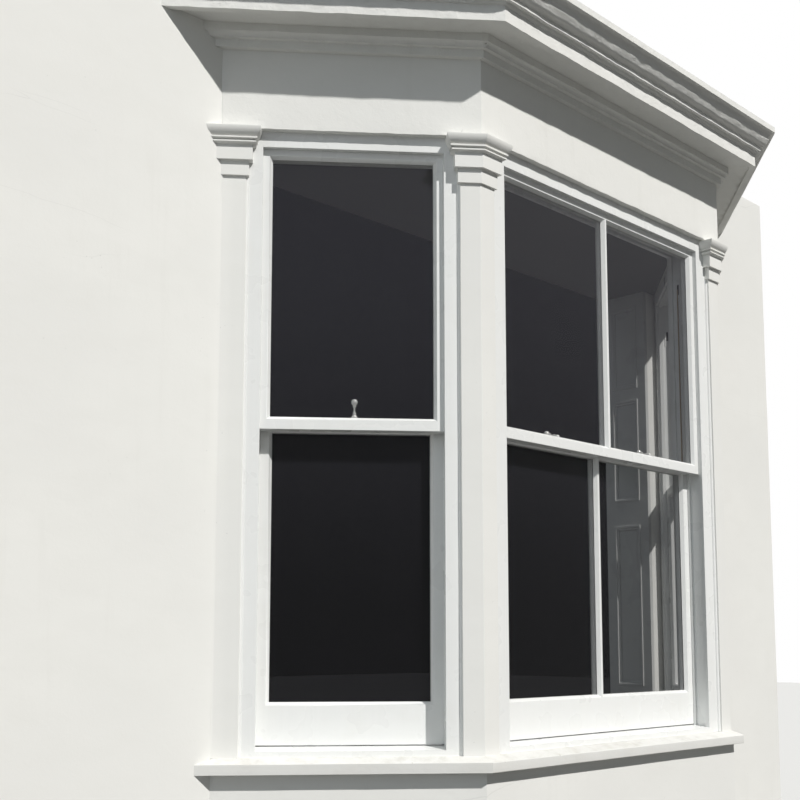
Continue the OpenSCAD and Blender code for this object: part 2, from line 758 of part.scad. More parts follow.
lower_sash("right");  // lower_sash_right
glass("left");  // glass_left
glass("front");  // glass_front
glass("right");  // glass_right
sash_fasteners();
window_board();
jamb_lining("left");  // jamb_lining_left
jamb_lining("right");  // jamb_lining_right
opening_soffit();
ceiling_plaster();
floor_boards();
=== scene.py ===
"""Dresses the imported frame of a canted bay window: painted render and joinery, glass, lead and boards."""

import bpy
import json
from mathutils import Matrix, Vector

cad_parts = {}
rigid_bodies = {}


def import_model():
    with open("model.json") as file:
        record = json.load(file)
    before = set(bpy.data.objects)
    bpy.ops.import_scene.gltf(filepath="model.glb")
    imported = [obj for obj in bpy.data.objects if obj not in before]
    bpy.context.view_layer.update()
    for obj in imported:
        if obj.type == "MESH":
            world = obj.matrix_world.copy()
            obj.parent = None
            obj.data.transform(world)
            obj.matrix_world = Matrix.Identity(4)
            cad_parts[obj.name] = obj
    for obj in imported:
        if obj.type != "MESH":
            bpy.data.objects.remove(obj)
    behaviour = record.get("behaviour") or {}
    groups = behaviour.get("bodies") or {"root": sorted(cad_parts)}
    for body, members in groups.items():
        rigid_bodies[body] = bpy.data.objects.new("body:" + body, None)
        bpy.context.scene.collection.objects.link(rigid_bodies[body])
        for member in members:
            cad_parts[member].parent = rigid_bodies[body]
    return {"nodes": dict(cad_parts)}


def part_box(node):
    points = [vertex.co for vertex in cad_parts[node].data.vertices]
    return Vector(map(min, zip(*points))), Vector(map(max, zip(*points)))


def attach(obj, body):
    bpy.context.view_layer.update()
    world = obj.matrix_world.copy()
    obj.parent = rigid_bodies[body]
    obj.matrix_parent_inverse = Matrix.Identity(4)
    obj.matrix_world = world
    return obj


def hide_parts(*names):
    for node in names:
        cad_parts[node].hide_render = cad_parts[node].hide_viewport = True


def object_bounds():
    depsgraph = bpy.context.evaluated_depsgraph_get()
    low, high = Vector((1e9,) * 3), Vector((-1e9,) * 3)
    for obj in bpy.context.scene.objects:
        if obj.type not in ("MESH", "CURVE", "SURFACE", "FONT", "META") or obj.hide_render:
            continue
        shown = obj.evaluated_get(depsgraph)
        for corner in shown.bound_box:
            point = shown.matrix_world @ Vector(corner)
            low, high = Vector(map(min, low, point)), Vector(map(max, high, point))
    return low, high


bl_info = {
    "name": "Bay Window Finish",
    "version": (1, 0, 0),
    "blender": (4, 5, 0),
    "location": "View3D > Sidebar > Bay Window",
    "description": "Gives a canted bay window its worn paint, joinery, glass, lead and floor boards",
    "category": "Object",
}

import json
import math

import bmesh
import bpy
from bpy.props import FloatProperty, FloatVectorProperty, IntProperty, PointerProperty
from bpy.types import Operator, Panel, PropertyGroup
from mathutils import Matrix, Vector, noise
from mathutils.bvhtree import BVHTree

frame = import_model()
CAD_LOW, CAD_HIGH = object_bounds()
NODES = frame["nodes"]
FACES = ("left", "front", "right")
SIDES = ("left", "right")

# Keeps the unevenness and the lumps the same from run to run
noise.seed_set(4)

# Sizes of the bay that its dressings share with the solids, in metres
FRONT_W = 1.6
PROJECTION = 0.58
CANT = math.radians(40)
SIDE_LEN = PROJECTION / math.sin(CANT)
Y_SHIFT = 0.248
WALL_T = 0.23
ANGLE_W, WALL_W = 0.076, 0.088
LINING_W = {"left": 0.055, "front": 0.074, "right": 0.055}
LINING_LAP = 0.012
LINING_SET, SHAFT_SET = 0.024, 0.008
LOWER_FACE, SASH_T = 0.101, 0.046
SILL_TOP = 1.17
PILASTER_FOOT = SILL_TOP + 0.016
MEETING_TOP = 2.323
HEAD_Z = 3.265
FRIEZE_Z, NECK_H, OVOLO_H = 3.320, 0.006, 0.035
OVOLO_FOOT = FRIEZE_Z - NECK_H - OVOLO_H

# Points of a mesh closer than the first become one, and within the second count as level with each other
MERGE, NEAR = 1e-5, 1e-4

# How far grid cuts stand beside the multiples of their spacing, and how far they keep from a piece's ends
CUT_ASIDE, CUT_MARGIN = 0.0007, 0.004

# The least angles of an edge that paint rounds
MASONRY_EDGE, TIMBER_EDGE = math.radians(18), math.radians(25)

# Shadow gap under the lower sashes
SASH_GAP = 0.004

# Heights of the cornice's roll, its corona and the frieze's lower edge that take lumps, and how strongly
LUMP_BANDS = ((3.741, 3.776, 0.5), (3.652, 3.724, 0.42), (3.314, 3.330, 0.5))

# How far the lower part of the roll stands back at each height, and how far out from the base walls it begins
RUN_BACK = ((3.7415, 0.003), (3.752, 0.0028), (3.757, 0.0032), (3.762, 0.0026), (3.767, 0.0012), (3.770, 0.0))
ROLL_REACH = 0.175

# Sash pulleys: drop under the head, plate and slot, wheel as radius and height along its pin, screws, cord
PULLEY_DROP = 0.15
PLATE_W, PLATE_H, PLATE_T = 0.024, 0.1, 0.0022
SLOT_W, SLOT_H, SLOT_BACK, SLOT_LAP = 0.01, 0.046, 0.0008, 0.0002
WHEEL = ((0.0, -0.0045), (0.020, -0.0045), (0.020, -0.003), (0.0165, 0.0), (0.020, 0.003), (0.020, 0.0045),
         (0.0, 0.0045))
WHEEL_SINK, WHEEL_RISE = 0.014, 0.004
PLATE_SCREW_Z = 0.038
CORD_R, CORD_OUT, CORD_SINK = 0.0028, 0.0065, 0.002

# Quarter-round cover beads: radius, depth to which they sink in, gap at the foot and lap at the top
BEAD_R, BEAD_SINK, BEAD_GAP, BEAD_LAP = 0.009, 0.0005, 0.001, 0.004

# Sash fasteners: depth, then window, shift from its middle and tilt in degrees, plate, its screws as distance
# and height, and post and arm as radius and height
FASTENER_DEPTH = 0.084
FASTENERS = (("left", 0.008, 0), ("right", 0.008, 0), ("front", -0.285, 72), ("front", 0.335, 72))
FASTENER_PLATE = (0.026, 0.028, 0.003)
FASTENER_SCREW = (0.0105, 0.0028)
POST = ((0.0, 0.003), (0.0105, 0.003), (0.0108, 0.006), (0.0100, 0.0105), (0.0082, 0.013), (0.0050, 0.014),
        (0.0, 0.0142))
ARM = ((0.0, 0.0), (0.0034, 0.0), (0.0034, 0.006), (0.0052, 0.0085), (0.0056, 0.011), (0.0050, 0.0135),
       (0.0028, 0.0155), (0.0022, 0.019), (0.0022, 0.027), (0.0030, 0.0292), (0.0050, 0.0305),
       (0.0054, 0.0325), (0.0048, 0.0345), (0.0030, 0.036))
ARM_FOOT, ARM_SCALE = 0.008, 1.15
KNOB_R, KNOB_Z = 0.0098, 0.045

# Floor boards: length before they are cut to the bay, softened edge and its least angle in radians
BOARD_LEN, BOARD_EDGE, BOARD_ANGLE = 2.6, 0.0012, 0.8

# What the stage's floor gives back to the object, and how dark it is through the glass
FLOOR_BOUNCE, FLOOR_THROUGH = (0.10, 0.10, 0.097), (0.008, 0.008, 0.009)

# The sky's colour, the way to the middle of its bright part, and its strength behind the house
SKY_COLOR = (0.86, 0.94, 1.0, 1.0)
SKY_WAY = (-0.97, 0.12, 0.15)
SKY_BEHIND = 0.12

# Lamps: distance, turn and rise of each in degrees, the back lamp's share of the key's power, and its width
LAMP_AWAY = 12.0
KEY_WAY, BACK_WAY = (181.8, 46.5), (30, 62)
BACK_SHARE, BACK_SPREAD = 0.12, 0.5

# The camera as fitted to the photo, with its turn and rise in degrees
CAMERA_AT = (-3.744, -3.1367 + Y_SHIFT, 0.388 + SILL_TOP)
CAMERA_TURN, CAMERA_RISE = 44.83, 6.44
CAMERA_LENS, CAMERA_SHIFT = 52.2, 0.14


def each_face(kind):
    return [f"{kind}_{face}" for face in FACES]


RENDER_WALLS = [f"house_wall_{part}" for part in (*SIDES, "over", "below")] + each_face("base_wall")
PILASTERS = [f"{kind}_{form}_{side}" for form in ("pilaster", "capital") for kind in ("wall", "angle")
             for side in SIDES]
SASHES = each_face("upper_sash") + each_face("lower_sash")
LININGS = ["jamb_lining_left", "jamb_lining_right", "window_board"]


# Properties


class BayPaintSettings(PropertyGroup):
    wall_color: FloatVectorProperty(
        name="Wall paint", description="Colour of the masonry paint", subtype="COLOR",
        default=(0.80, 0.80, 0.775), min=0, max=1)
    joinery_color: FloatVectorProperty(
        name="Joinery paint", description="Colour of the gloss paint on the timber", subtype="COLOR",
        default=(0.80, 0.81, 0.80), min=0, max=1)
    edge_radius: FloatProperty(
        name="Edge radius", description="How far coats of paint round the edges of the render",
        subtype="DISTANCE", default=0.0035, min=0.0005, max=0.01)
    joinery_radius: FloatProperty(
        name="Joinery edge radius", description="Rounding of the timber's edges",
        subtype="DISTANCE", default=0.0014, min=0.0003, max=0.004)
    unevenness: FloatProperty(
        name="Unevenness", description="How far the hand-floated render wanders from true",
        subtype="DISTANCE", default=0.0013, min=0, max=0.004)
    lumps: FloatProperty(
        name="Lumps", description="How far the coats stand up in lumps along the cornice's roll and edges",
        subtype="DISTANCE", default=0.0036, min=0, max=0.008)
    grid: FloatProperty(
        name="Grid", description="Spacing of the points that the unevenness moves",
        subtype="DISTANCE", default=0.05, min=0.02, max=0.2)
    lump_grid: FloatProperty(
        name="Lump grid", description="Spacing of the points that the lumps move", subtype="DISTANCE",
        default=0.0125, min=0.005, max=0.05)


class BayGlassSettings(PropertyGroup):
    # Tint and cover make a dark sheet on the glass: painted shade of the room behind it, paler at the top as
    # a painted reflection.
    tint: FloatVectorProperty(
        name="Tint", description="Colour of the film on the glass where it is thickest", subtype="COLOR",
        default=(0.085, 0.085, 0.105), min=0, max=1)
    cover: FloatProperty(
        name="Cover", description="How much the glass hides what lies behind it", subtype="FACTOR",
        default=0.15, min=0, max=1)


class BayFloorSettings(PropertyGroup):
    board_w: FloatProperty(
        name="Board width", description="Width of a floor board with its joint", subtype="DISTANCE",
        default=0.165, min=0.08, max=0.3)
    joint_w: FloatProperty(
        name="Joint", description="Gap between two boards", subtype="DISTANCE", default=0.002,
        min=0.0005, max=0.006)
    seed: IntProperty(name="Seed", description="Changes the run of the boards", default=4, min=0, max=99)


class BayStageSettings(PropertyGroup):
    floor_color: FloatVectorProperty(
        name="Floor", description="Colour of the studio floor", subtype="COLOR", default=(0.72, 0.72, 0.71),
        min=0, max=1)
    key_power: FloatProperty(
        name="Key", description="Strength of the high lamp in front", default=3.82, min=0, max=10)
    key_spread: FloatProperty(
        name="Spread", description="Width of the high lamp as the object sees it", subtype="ANGLE",
        default=math.radians(1.4), min=0, max=0.5)
    fill: FloatProperty(
        name="Fill", description="Strength of the sky on the far side from its bright part", subtype="FACTOR",
        default=0.02, min=0, max=1)
    sky: FloatProperty(
        name="Sky", description="Strength of the sky's bright part, on the left", subtype="FACTOR",
        default=0.85, min=0, max=1)
    room: FloatProperty(
        name="Room", description="Brightness of what lies beyond the glass", subtype="FACTOR", default=0.005,
        min=0, max=1)


# Shader helpers


class Sock:
    """An output socket whose arithmetic adds Math nodes to its tree."""

    def __init__(self, wiring, socket):
        self.wiring = wiring
        self.socket = socket

    def __add__(self, other):
        return self.wiring.math("ADD", self, other)

    def __radd__(self, other):
        return self.wiring.math("ADD", other, self)

    def __sub__(self, other):
        return self.wiring.math("SUBTRACT", self, other)

    def __rsub__(self, other):
        return self.wiring.math("SUBTRACT", other, self)

    def __mul__(self, other):
        return self.wiring.math("MULTIPLY", self, other)

    def __rmul__(self, other):
        return self.wiring.math("MULTIPLY", other, self)

    def __truediv__(self, other):
        return self.wiring.math("DIVIDE", self, other)

    def __rtruediv__(self, other):
        return self.wiring.math("DIVIDE", other, self)


class Wiring:
    """Adds nodes to a tree and wires them."""

    def __init__(self, tree):
        self.tree = tree
        tree.nodes.clear()

    def feed(self, socket, value):
        if isinstance(value, Sock):
            self.tree.links.new(value.socket, socket)
        else:
            socket.default_value = value

    def node(self, kind, settings=None, inputs=None, out=0):
        """Adds a node with its settings and its sockets' values or links, and gives one of its outputs."""
        node = self.tree.nodes.new(kind)
        for key, value in (settings or {}).items():
            setattr(node, key, value)
        for key, value in (inputs or {}).items():
            self.feed(node.inputs[key], value)
        return Sock(self, node.outputs[out]) if node.outputs else None

    def math(self, operation, a, b):
        return self.node("ShaderNodeMath", {"operation": operation}, {0: a, 1: b})

    def vector(self, x=0.0, y=0.0, z=0.0):
        return self.node("ShaderNodeCombineXYZ", None, {0: x, 1: y, 2: z})

    def part(self, vector, name):
        return self.node("ShaderNodeSeparateXYZ", None, {0: vector}, out=name)

    def ray(self, name):
        return self.node("ShaderNodeLightPath", out=name)

    def seen(self):
        """1 for what the camera sees, also in gloss and through glass."""
        direct = self.math("MAXIMUM", self.ray("Is Camera Ray"), self.ray("Is Glossy Ray"))
        return self.math("MAXIMUM", direct, self.ray("Is Transmission Ray"))


class Finish(Wiring):
    """One procedural material under construction."""

    def __init__(self, name, roughness=0.5, metallic=0.0, specular=0.5):
        self.material = bpy.data.materials.new(name)
        self.material.use_nodes = True
        super().__init__(self.material.node_tree)
        self.shader = self.tree.nodes.new("ShaderNodeBsdfPrincipled")
        self.node("ShaderNodeOutputMaterial", None, {"Surface": Sock(self, self.shader.outputs[0])})
        self.set("Roughness", roughness)
        self.set("Metallic", metallic)
        self.set("Specular IOR Level", specular)
        self.place = self.node("ShaderNodeTexCoord", out="Object")

    def set(self, name, value):
        self.feed(self.shader.inputs[name], value)

    def stretched(self, x, y, z):
        return self.node("ShaderNodeMapping", None, {"Vector": self.place, "Scale": (x, y, z)})

    def noise(self, scale, detail=3, rough=0.5, at=None, bend=0.0, out=0):
        return self.node("ShaderNodeTexNoise", None, {
            "Vector": at or self.place, "Scale": scale, "Detail": detail, "Roughness": rough,
            "Distortion": bend}, out)

    def voronoi(self, scale, feature="F1", at=None):
        return self.node("ShaderNodeTexVoronoi", {"feature": feature}, {
            "Vector": at or self.place, "Scale": scale}, out="Distance")

    def span(self, value, low, high, to_low=0.0, to_high=1.0):
        return self.node("ShaderNodeMapRange", {"interpolation_type": "SMOOTHSTEP"}, {
            "Value": value, "From Min": low, "From Max": high, "To Min": to_low, "To Max": to_high})

    def mix(self, factor, first, second):
        return self.node("ShaderNodeMix", {"data_type": "RGBA"}, {
            0: factor, 6: rgba(first), 7: rgba(second)}, out=2)

    def done(self, color, roughness, *layers):
        """Sets colour, roughness and bumps, each a height and its distance, and gives the material."""
        self.set("Base Color", color)
        self.set("Roughness", roughness)
        normal = None
        for height, distance in layers:
            inputs = {"Height": height, "Distance": distance, "Strength": 1.0}
            if normal is not None:
                inputs["Normal"] = normal
            normal = self.node("ShaderNodeBump", None, inputs)
        self.set("Normal", normal)
        return self.material


def rgba(color):
    return color if isinstance(color, Sock) else (*color[:3], 1.0)


def shade(color, k, tint=(1, 1, 1)):
    return tuple(c * k * t for c, t in zip(color[:3], tint))


def wall_paint(name, color, grime, grain, crazing=0.0):
    """Masonry paint over floated render: sweeps, roller grain, a few pits, level trowel lines and grime."""
    f = Finish(name, specular=0.35)
    broad = f.noise(1.7, 2, 0.5)
    sweeps = f.noise(5.0, 2, 0.45, at=f.stretched(1.0, 1.0, 2.2), bend=0.4)
    roller = f.noise(150.0, 3, 0.6)
    skin = f.noise(26.0, 3, 0.5)
    coats = f.span(f.noise(17.0, 4, 0.6), 0.50, 0.62)
    pits = f.span(f.voronoi(42.0), 0.03, 0.09, 1.0, 0.0) * f.span(f.noise(5.0, 2), 0.61, 0.66)
    drift = f.node("ShaderNodeVectorMath", {"operation": "SCALE"}, {
        0: f.noise(2.2, out="Color"), "Scale": 0.16})
    warped = f.node("ShaderNodeVectorMath", {"operation": "ADD"}, {0: f.stretched(0.28, 0.28, 3.2), 1: drift})
    line = f.voronoi(1.5, "DISTANCE_TO_EDGE", at=warped)
    lines = f.span(line, 0.0, 0.0035, 1.0, 0.0) * f.span(f.noise(1.3, 2), 0.55, 0.62) * crazing
    runs = f.noise(14.0, 4, 0.65, at=f.stretched(1.6, 1.6, 0.12))
    soot = f.span(runs, 0.5, 0.82) * f.span(broad, 0.42, 0.7) * grime
    tone = f.mix(f.span(broad, 0.35, 0.68), shade(color, 0.985), shade(color, 1.012, (1.0, 1.0, 0.997)))
    tone = f.mix(f.span(sweeps, 0.42, 0.66) * 0.3, tone, shade(color, 0.97, (1.0, 0.999, 0.992)))
    tone = f.mix(coats * 0.3 * grain, tone, shade(color, 0.93, (1.0, 0.998, 0.985)))
    tone = f.mix(soot, tone, shade(color, 0.74, (1.0, 0.985, 0.95)))
    tone = f.mix(lines * 0.45 + pits * 0.5, tone, shade(color, 0.5))
    crumbs = f.noise(75.0, 3, 0.65)
    return f.done(tone, f.span(roller, 0.3, 0.7, 0.62, 0.78), (broad * 0.6 + sweeps, 0.0006),
                  (skin + coats * 0.35, 0.0022 * grain), (crumbs, 0.0016 * grain),
                  (roller * 0.2 - pits - lines, 0.0003))


def timber_paint(name, color):
    """Gloss paint on softwood: brush strokes along each member, soft sags, tiny chips and a little dust."""
    f = Finish(name, specular=0.5)
    upright = f.noise(90.0, 3, 0.55, at=f.stretched(1.0, 1.0, 0.045))
    level = f.noise(90.0, 3, 0.55, at=f.stretched(0.06, 0.06, 1.0))
    choose = f.span(f.noise(1.1, 1), 0.45, 0.55)
    strokes = upright * (1.0 - choose * 0.35) + level * choose * 0.35
    sag = f.noise(11.0, 2, 0.45)
    grain = f.noise(260.0, 2, 0.5, at=f.stretched(1.0, 1.0, 0.1))
    specks = f.span(f.voronoi(55.0), 0.02, 0.06, 1.0, 0.0) * f.span(f.noise(5.0, 3), 0.6, 0.68)
    dust = f.span(f.noise(6.0, 4, 0.6), 0.45, 0.75)
    tone = f.mix(dust * 0.35, color, shade(color, 0.93, (1.0, 0.99, 0.965)))
    tone = f.mix(f.span(strokes, 0.35, 0.7) * 0.18, tone, shade(color, 0.94))
    tone = f.mix(specks * 0.4, tone, shade(color, 0.55, (1.0, 0.93, 0.8)))
    return f.done(tone, f.span(sag, 0.35, 0.65, 0.26, 0.38) + specks * 0.2, (sag, 0.0009), (strokes, 0.00035),
                  (grain * 0.4 - specks, 0.00018))


def stone_paint(name, color):
    """The wall's paint on the sill: rubbed arrises, chipped spots and dirt lying on the weathered top."""
    f = Finish(name, specular=0.4)
    broad = f.noise(5.0, 4, 0.6)
    coats = f.noise(60.0, 3, 0.55)
    chips = f.span(f.voronoi(26.0), 0.05, 0.12, 1.0, 0.0) * f.span(f.noise(9.0, 3), 0.58, 0.66)
    top = f.span(f.part(f.node("ShaderNodeNewGeometry", out="Normal"), "Z"), 0.7, 0.95)
    dirt = top * f.span(f.noise(16.0, 4, 0.65), 0.42, 0.75)
    tone = f.mix(f.span(broad, 0.4, 0.7) * 0.5, color, shade(color, 0.93, (1.0, 0.99, 0.97)))
    tone = f.mix(dirt * 0.5, tone, shade(color, 0.68, (1.0, 0.97, 0.9)))
    tone = f.mix(chips * 0.6, tone, shade(color, 0.6, (1.0, 0.96, 0.88)))
    return f.done(tone, f.span(coats, 0.35, 0.7, 0.5, 0.68), (broad, 0.0014), (coats - chips * 1.4, 0.0006))


def plaster(name, color):
    """Room side: smooth skimmed plaster under matt paint."""
    f = Finish(name, specular=0.3)
    broad = f.noise(3.0, 3, 0.5)
    skim = f.noise(40.0, 3, 0.5, at=f.stretched(1.0, 1.0, 0.6))
    tone = f.mix(f.span(broad, 0.35, 0.7), shade(color, 0.95), color)
    return f.done(tone, f.span(skim, 0.3, 0.7, 0.72, 0.86), (broad, 0.001), (skim, 0.0003))


def sheet_lead(name):
    """Weathered lead: blue-grey patina, pale carbonate bloom, dark runs and dressed-in ripples."""
    f = Finish(name, metallic=0.25, specular=0.4)
    patina = f.noise(4.0, 5, 0.6, bend=0.8)
    bloom = f.span(f.noise(19.0, 5, 0.7), 0.5, 0.72)
    runs = f.span(f.noise(17.0, 3, 0.6, at=f.stretched(1.0, 0.16, 0.16)), 0.5, 0.75)
    dints = f.noise(26.0, 2, 0.4)
    tone = f.mix(f.span(patina, 0.35, 0.68), (0.15, 0.165, 0.18), (0.27, 0.285, 0.30))
    tone = f.mix(bloom * 0.45, tone, (0.46, 0.47, 0.47))
    tone = f.mix(runs * 0.4, tone, (0.10, 0.11, 0.12))
    return f.done(tone, f.span(patina, 0.3, 0.7, 0.45, 0.68) + bloom * 0.12, (dints, 0.0022),
                  (f.noise(140.0, 2), 0.0003))


def bare_board(name, light, dark, roughness):
    """Softwood: long grain with rays, a few knots and a change of tone from board to board."""
    f = Finish(name, specular=0.4)
    along = f.stretched(0.09, 1.0, 1.0)
    rings = f.noise(34.0, 4, 0.6, at=along, bend=1.4)
    fibre = f.noise(420.0, 2, 0.5, at=f.stretched(0.03, 1.0, 1.0))
    knots = f.span(f.voronoi(2.4, at=f.stretched(0.7, 2.2, 1.0)), 0.02, 0.06, 1.0, 0.0)
    board = f.node("ShaderNodeAttribute", {"attribute_name": "board_tone"}, out="Fac")
    tone = f.mix(f.span(rings, 0.36, 0.66), light, dark)
    tone = f.mix(board * 0.4, tone, shade(dark, 0.8))
    tone = f.mix(knots, tone, shade(dark, 0.35))
    rough = f.span(rings, 0.3, 0.7, roughness, roughness + 0.14)
    return f.done(tone, rough, (rings, 0.0004), (fibre, 0.0003))


def window_glass(name, tint, cover):
    """Sheet glass with the slow ripple of old panes and a little dust, under a dark sheet that is painted
    shade of the room and pales upwards as a painted reflection.
    """
    f = Finish(name, roughness=0.03, specular=0.36)
    ripple = f.noise(4.5, 2, 0.4, at=f.stretched(1.0, 1.0, 0.45))
    dust = f.span(f.noise(23.0, 5, 0.65), 0.55, 0.85)
    # Painted reflection: the sheet goes from 0.15 of the tint low down to the full tint near the head.
    shade_and_reflection_sheet = f.span(f.part(f.place, "Z"), 1.5, 3.1)
    # Painted shade: the cover makes each pane partly an opaque dark sheet in front of the room.
    f.set("Alpha", dust * 0.03 + cover)
    tone = f.mix(dust * 0.10, f.mix(shade_and_reflection_sheet, shade(tint, 0.15), tint), (0.22, 0.22, 0.21))
    return f.done(tone, dust * 0.10 + 0.02, (ripple, 0.0009))


def metal(name, color, roughness, metallic=1.0):
    """Handled metal with fine turning marks and dull fingered patches."""
    f = Finish(name, metallic=metallic)
    rub = f.noise(120.0, 3, 0.6)
    tone = f.mix(f.span(rub, 0.4, 0.7), shade(color, 0.8), color)
    rough = f.span(rub, 0.35, 0.7, roughness, roughness + 0.18)
    return f.done(tone, rough, (f.noise(900.0, 2), 0.00005))


def cord_weave(name):
    """Waxed cotton sash cord."""
    f = Finish(name, specular=0.2)
    twist = f.node("ShaderNodeTexWave", {"bands_direction": "DIAGONAL"}, {"Vector": f.place, "Scale": 160.0})
    tone = f.mix(twist, (0.30, 0.22, 0.14), (0.52, 0.42, 0.30))
    return f.done(tone, f.span(f.noise(90.0, 2), 0.3, 0.7, 0.75, 0.9), (twist, 0.0005))


def studio_floor_paint(color):
    """Plain pale floor, which gives little light back to the object and is dark through the glass."""
    f = Finish("studio_floor", roughness=0.9, specular=0.1)
    through = f.span(f.ray("Transparent Depth"), 0.0, 1.0)
    f.set("Base Color", f.mix(f.seen(), FLOOR_BOUNCE, f.mix(through, color, FLOOR_THROUGH)))
    return f.material


def studio_world(settings):
    """A sky that is brightest on the left lights the object, and the camera sees plain white."""
    world = bpy.data.worlds.new("studio")
    world.use_nodes = True
    w = Wiring(world.node_tree)
    way = w.node("ShaderNodeTexCoord", out="Generated")
    middle = Vector(SKY_WAY).normalized()
    toward = w.node("ShaderNodeVectorMath", {"operation": "DOT_PRODUCT"}, {0: way, 1: middle}, out="Value")
    aside = w.node("ShaderNodeMapRange", None, {
        "Value": w.part(way, "Y"), "From Min": 0.1, "From Max": 0.45, "To Min": settings.sky,
        "To Max": SKY_BEHIND})
    sky = w.node("ShaderNodeMapRange", None, {
        "Value": toward, "From Min": 0.1, "To Min": settings.fill, "To Max": aside})
    beyond = w.node("ShaderNodeMapRange", None, {
        "Value": w.ray("Transparent Depth"), "To Min": 1.0, "To Max": settings.room})
    light = w.node("ShaderNodeBackground", None, {0: SKY_COLOR, 1: sky})
    white = w.node("ShaderNodeBackground", None, {0: (1.0, 1.0, 1.0, 1.0), 1: beyond})
    both = w.node("ShaderNodeMixShader", None, {0: w.seen(), 1: light, 2: white})
    w.node("ShaderNodeOutputWorld", None, {"Surface": both})
    return world


# Geometry helpers


def place(face, along, inward, z):
    """A point in a face's frame: along it from its middle, inwards from the base wall's face, and up."""
    if face == "front":
        return Vector((along, inward - PROJECTION + Y_SHIFT, z))
    ux = Vector((math.cos(CANT), -math.sin(CANT), 0))
    uy = Vector((math.sin(CANT), math.cos(CANT), 0))
    p = Vector((-FRONT_W / 2, -PROJECTION + Y_SHIFT, z)) + (along - SIDE_LEN / 2) * ux + inward * uy
    if face == "right":
        p.x = -p.x
    return p


def clear_span(face):
    width = FRONT_W if face == "front" else SIDE_LEN
    outer = ANGLE_W if face == "front" else WALL_W
    return -width / 2 + outer, width / 2 - ANGLE_W


def face_axes(face):
    """Along and inward directions of a face, in the row frame."""
    o = place(face, 0, 0, 0)
    return (place(face, 1, 0, 0) - o).normalized(), (place(face, 0, 1, 0) - o).normalized()


def closed_bmesh(node):
    """A CAD node's mesh with its loose triangles joined into whole faces."""
    bm = bmesh.new()
    bm.from_mesh(NODES[node].data)
    bmesh.ops.remove_doubles(bm, verts=bm.verts, dist=MERGE)
    bmesh.ops.dissolve_degenerate(bm, dist=1e-6, edges=bm.edges)
    bmesh.ops.dissolve_limit(bm, angle_limit=math.radians(0.4), verts=bm.verts, edges=bm.edges)
    return bm


def bvh_of(node):
    mesh = NODES[node].data
    return BVHTree.FromPolygons([v.co for v in mesh.vertices], [tuple(p.vertices) for p in mesh.polygons])


# The surface and the box of each solid
SOLIDS = {name: (bvh_of(name), *map(Vector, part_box(name))) for name in NODES}


def buried(point, but):
    """True where a point lies inside a solid other than the named one."""
    ray, skip = Vector((0.0123, 0.0311, 1.0)).normalized(), 2e-5
    for name, (tree, low, high) in SOLIDS.items():
        if name == but or any(point[i] < low[i] or point[i] > high[i] for i in range(3)):
            continue
        hits, at = 0, point.copy()
        while True:
            hit = tree.ray_cast(at, ray)[0]
            if hit is None:
                break
            hits += 1
            at = hit + ray * skip
        if hits % 2:
            return True
    return False


def mark_edges(bm, node, least_angle):
    """Weights the convex edges that stand free, but not where another solid carries the surface on."""
    weight = bm.edges.layers.float.new("bevel_weight_edge")
    step = 0.0012
    for edge in bm.edges:
        if len(edge.link_faces) != 2 or not edge.is_convex or edge.calc_face_angle(0.0) < least_angle:
            continue
        n1, n2 = (face.normal for face in edge.link_faces)
        middle = (edge.verts[0].co + edge.verts[1].co) / 2
        way = (n2 - n1) * step
        if buried(middle + way, node) or buried(middle - way, node):
            continue
        edge[weight] = 1.0


def cut_across(bm, point, normal):
    bmesh.ops.bisect_plane(bm, geom=bm.verts[:] + bm.edges[:] + bm.faces[:], plane_co=point, plane_no=normal,
                           dist=MERGE)


def grid_cuts(bm, spacing, axes=(0, 1, 2)):
    """Cuts a mesh into a grid whose lines are the same in every piece."""
    for axis in axes:
        low = min(v.co[axis] for v in bm.verts)
        high = max(v.co[axis] for v in bm.verts)
        normal = Vector([1.0 if i == axis else 0.0 for i in range(3)])
        k = math.floor(low / spacing) + 1
        while k * spacing < high - NEAR:
            at = k * spacing + CUT_ASIDE
            if low + CUT_MARGIN < at < high - CUT_MARGIN:
                cut_across(bm, normal * at, normal)
            k += 1


def wander(point, amount):
    """The drift of hand-floated render at a point, the same for every piece that has a point there."""
    slow = noise.noise_vector(point * 3.1 + Vector((7.3, 1.1, 4.7)))
    quick = noise.noise_vector(point * 13.0 + Vector((2.9, 8.3, 0.4)))
    return slow * amount + quick * amount * 0.45


def lump(point, amount):
    """The build-up of old coats at a point of the cornice or frieze."""
    share = 0.0
    for low, high, part in LUMP_BANDS:
        inside = min(point.z - low, high - point.z) / (high - low)
        share = max(share, part * min(1.0, max(0.0, inside * 4.0 + 1.0)))
    if not share:
        return Vector((0, 0, 0))
    coarse = noise.noise_vector(point * 19.0 + Vector((5.1, 0.7, 3.3)))
    fine = noise.noise_vector(point * 47.0 + Vector((1.9, 6.4, 2.2)))
    return (coarse + fine * 0.5) * amount * share


def outward(point):
    """How far a point stands out from the base walls, and the way out there, which follows the mitres."""
    reach = []
    for face in FACES:
        inward = face_axes(face)[1]
        reach.append(((place(face, 0, 0, 0) - point).dot(inward), -inward))
    (d1, n1), (d2, n2) = sorted(reach, key=lambda r: -r[0])[:2]
    return d1, (n1 + n2) / (1 + n1.dot(n2)) if d1 - d2 < NEAR else n1


def set_back(point):
    """Where a point of the cornice lies once the run has been worked back under its top fillet."""
    if not RUN_BACK[0][0] <= point.z <= RUN_BACK[-1][0]:
        return point
    reach, out = outward(Vector((point.x, point.y, 0)))
    if reach < ROLL_REACH:
        return point
    for (z0, b0), (z1, b1) in zip(RUN_BACK, RUN_BACK[1:]):
        if z0 <= point.z <= z1:
            return point - out * (b0 + (b1 - b0) * (point.z - z0) / (z1 - z0))
    return point


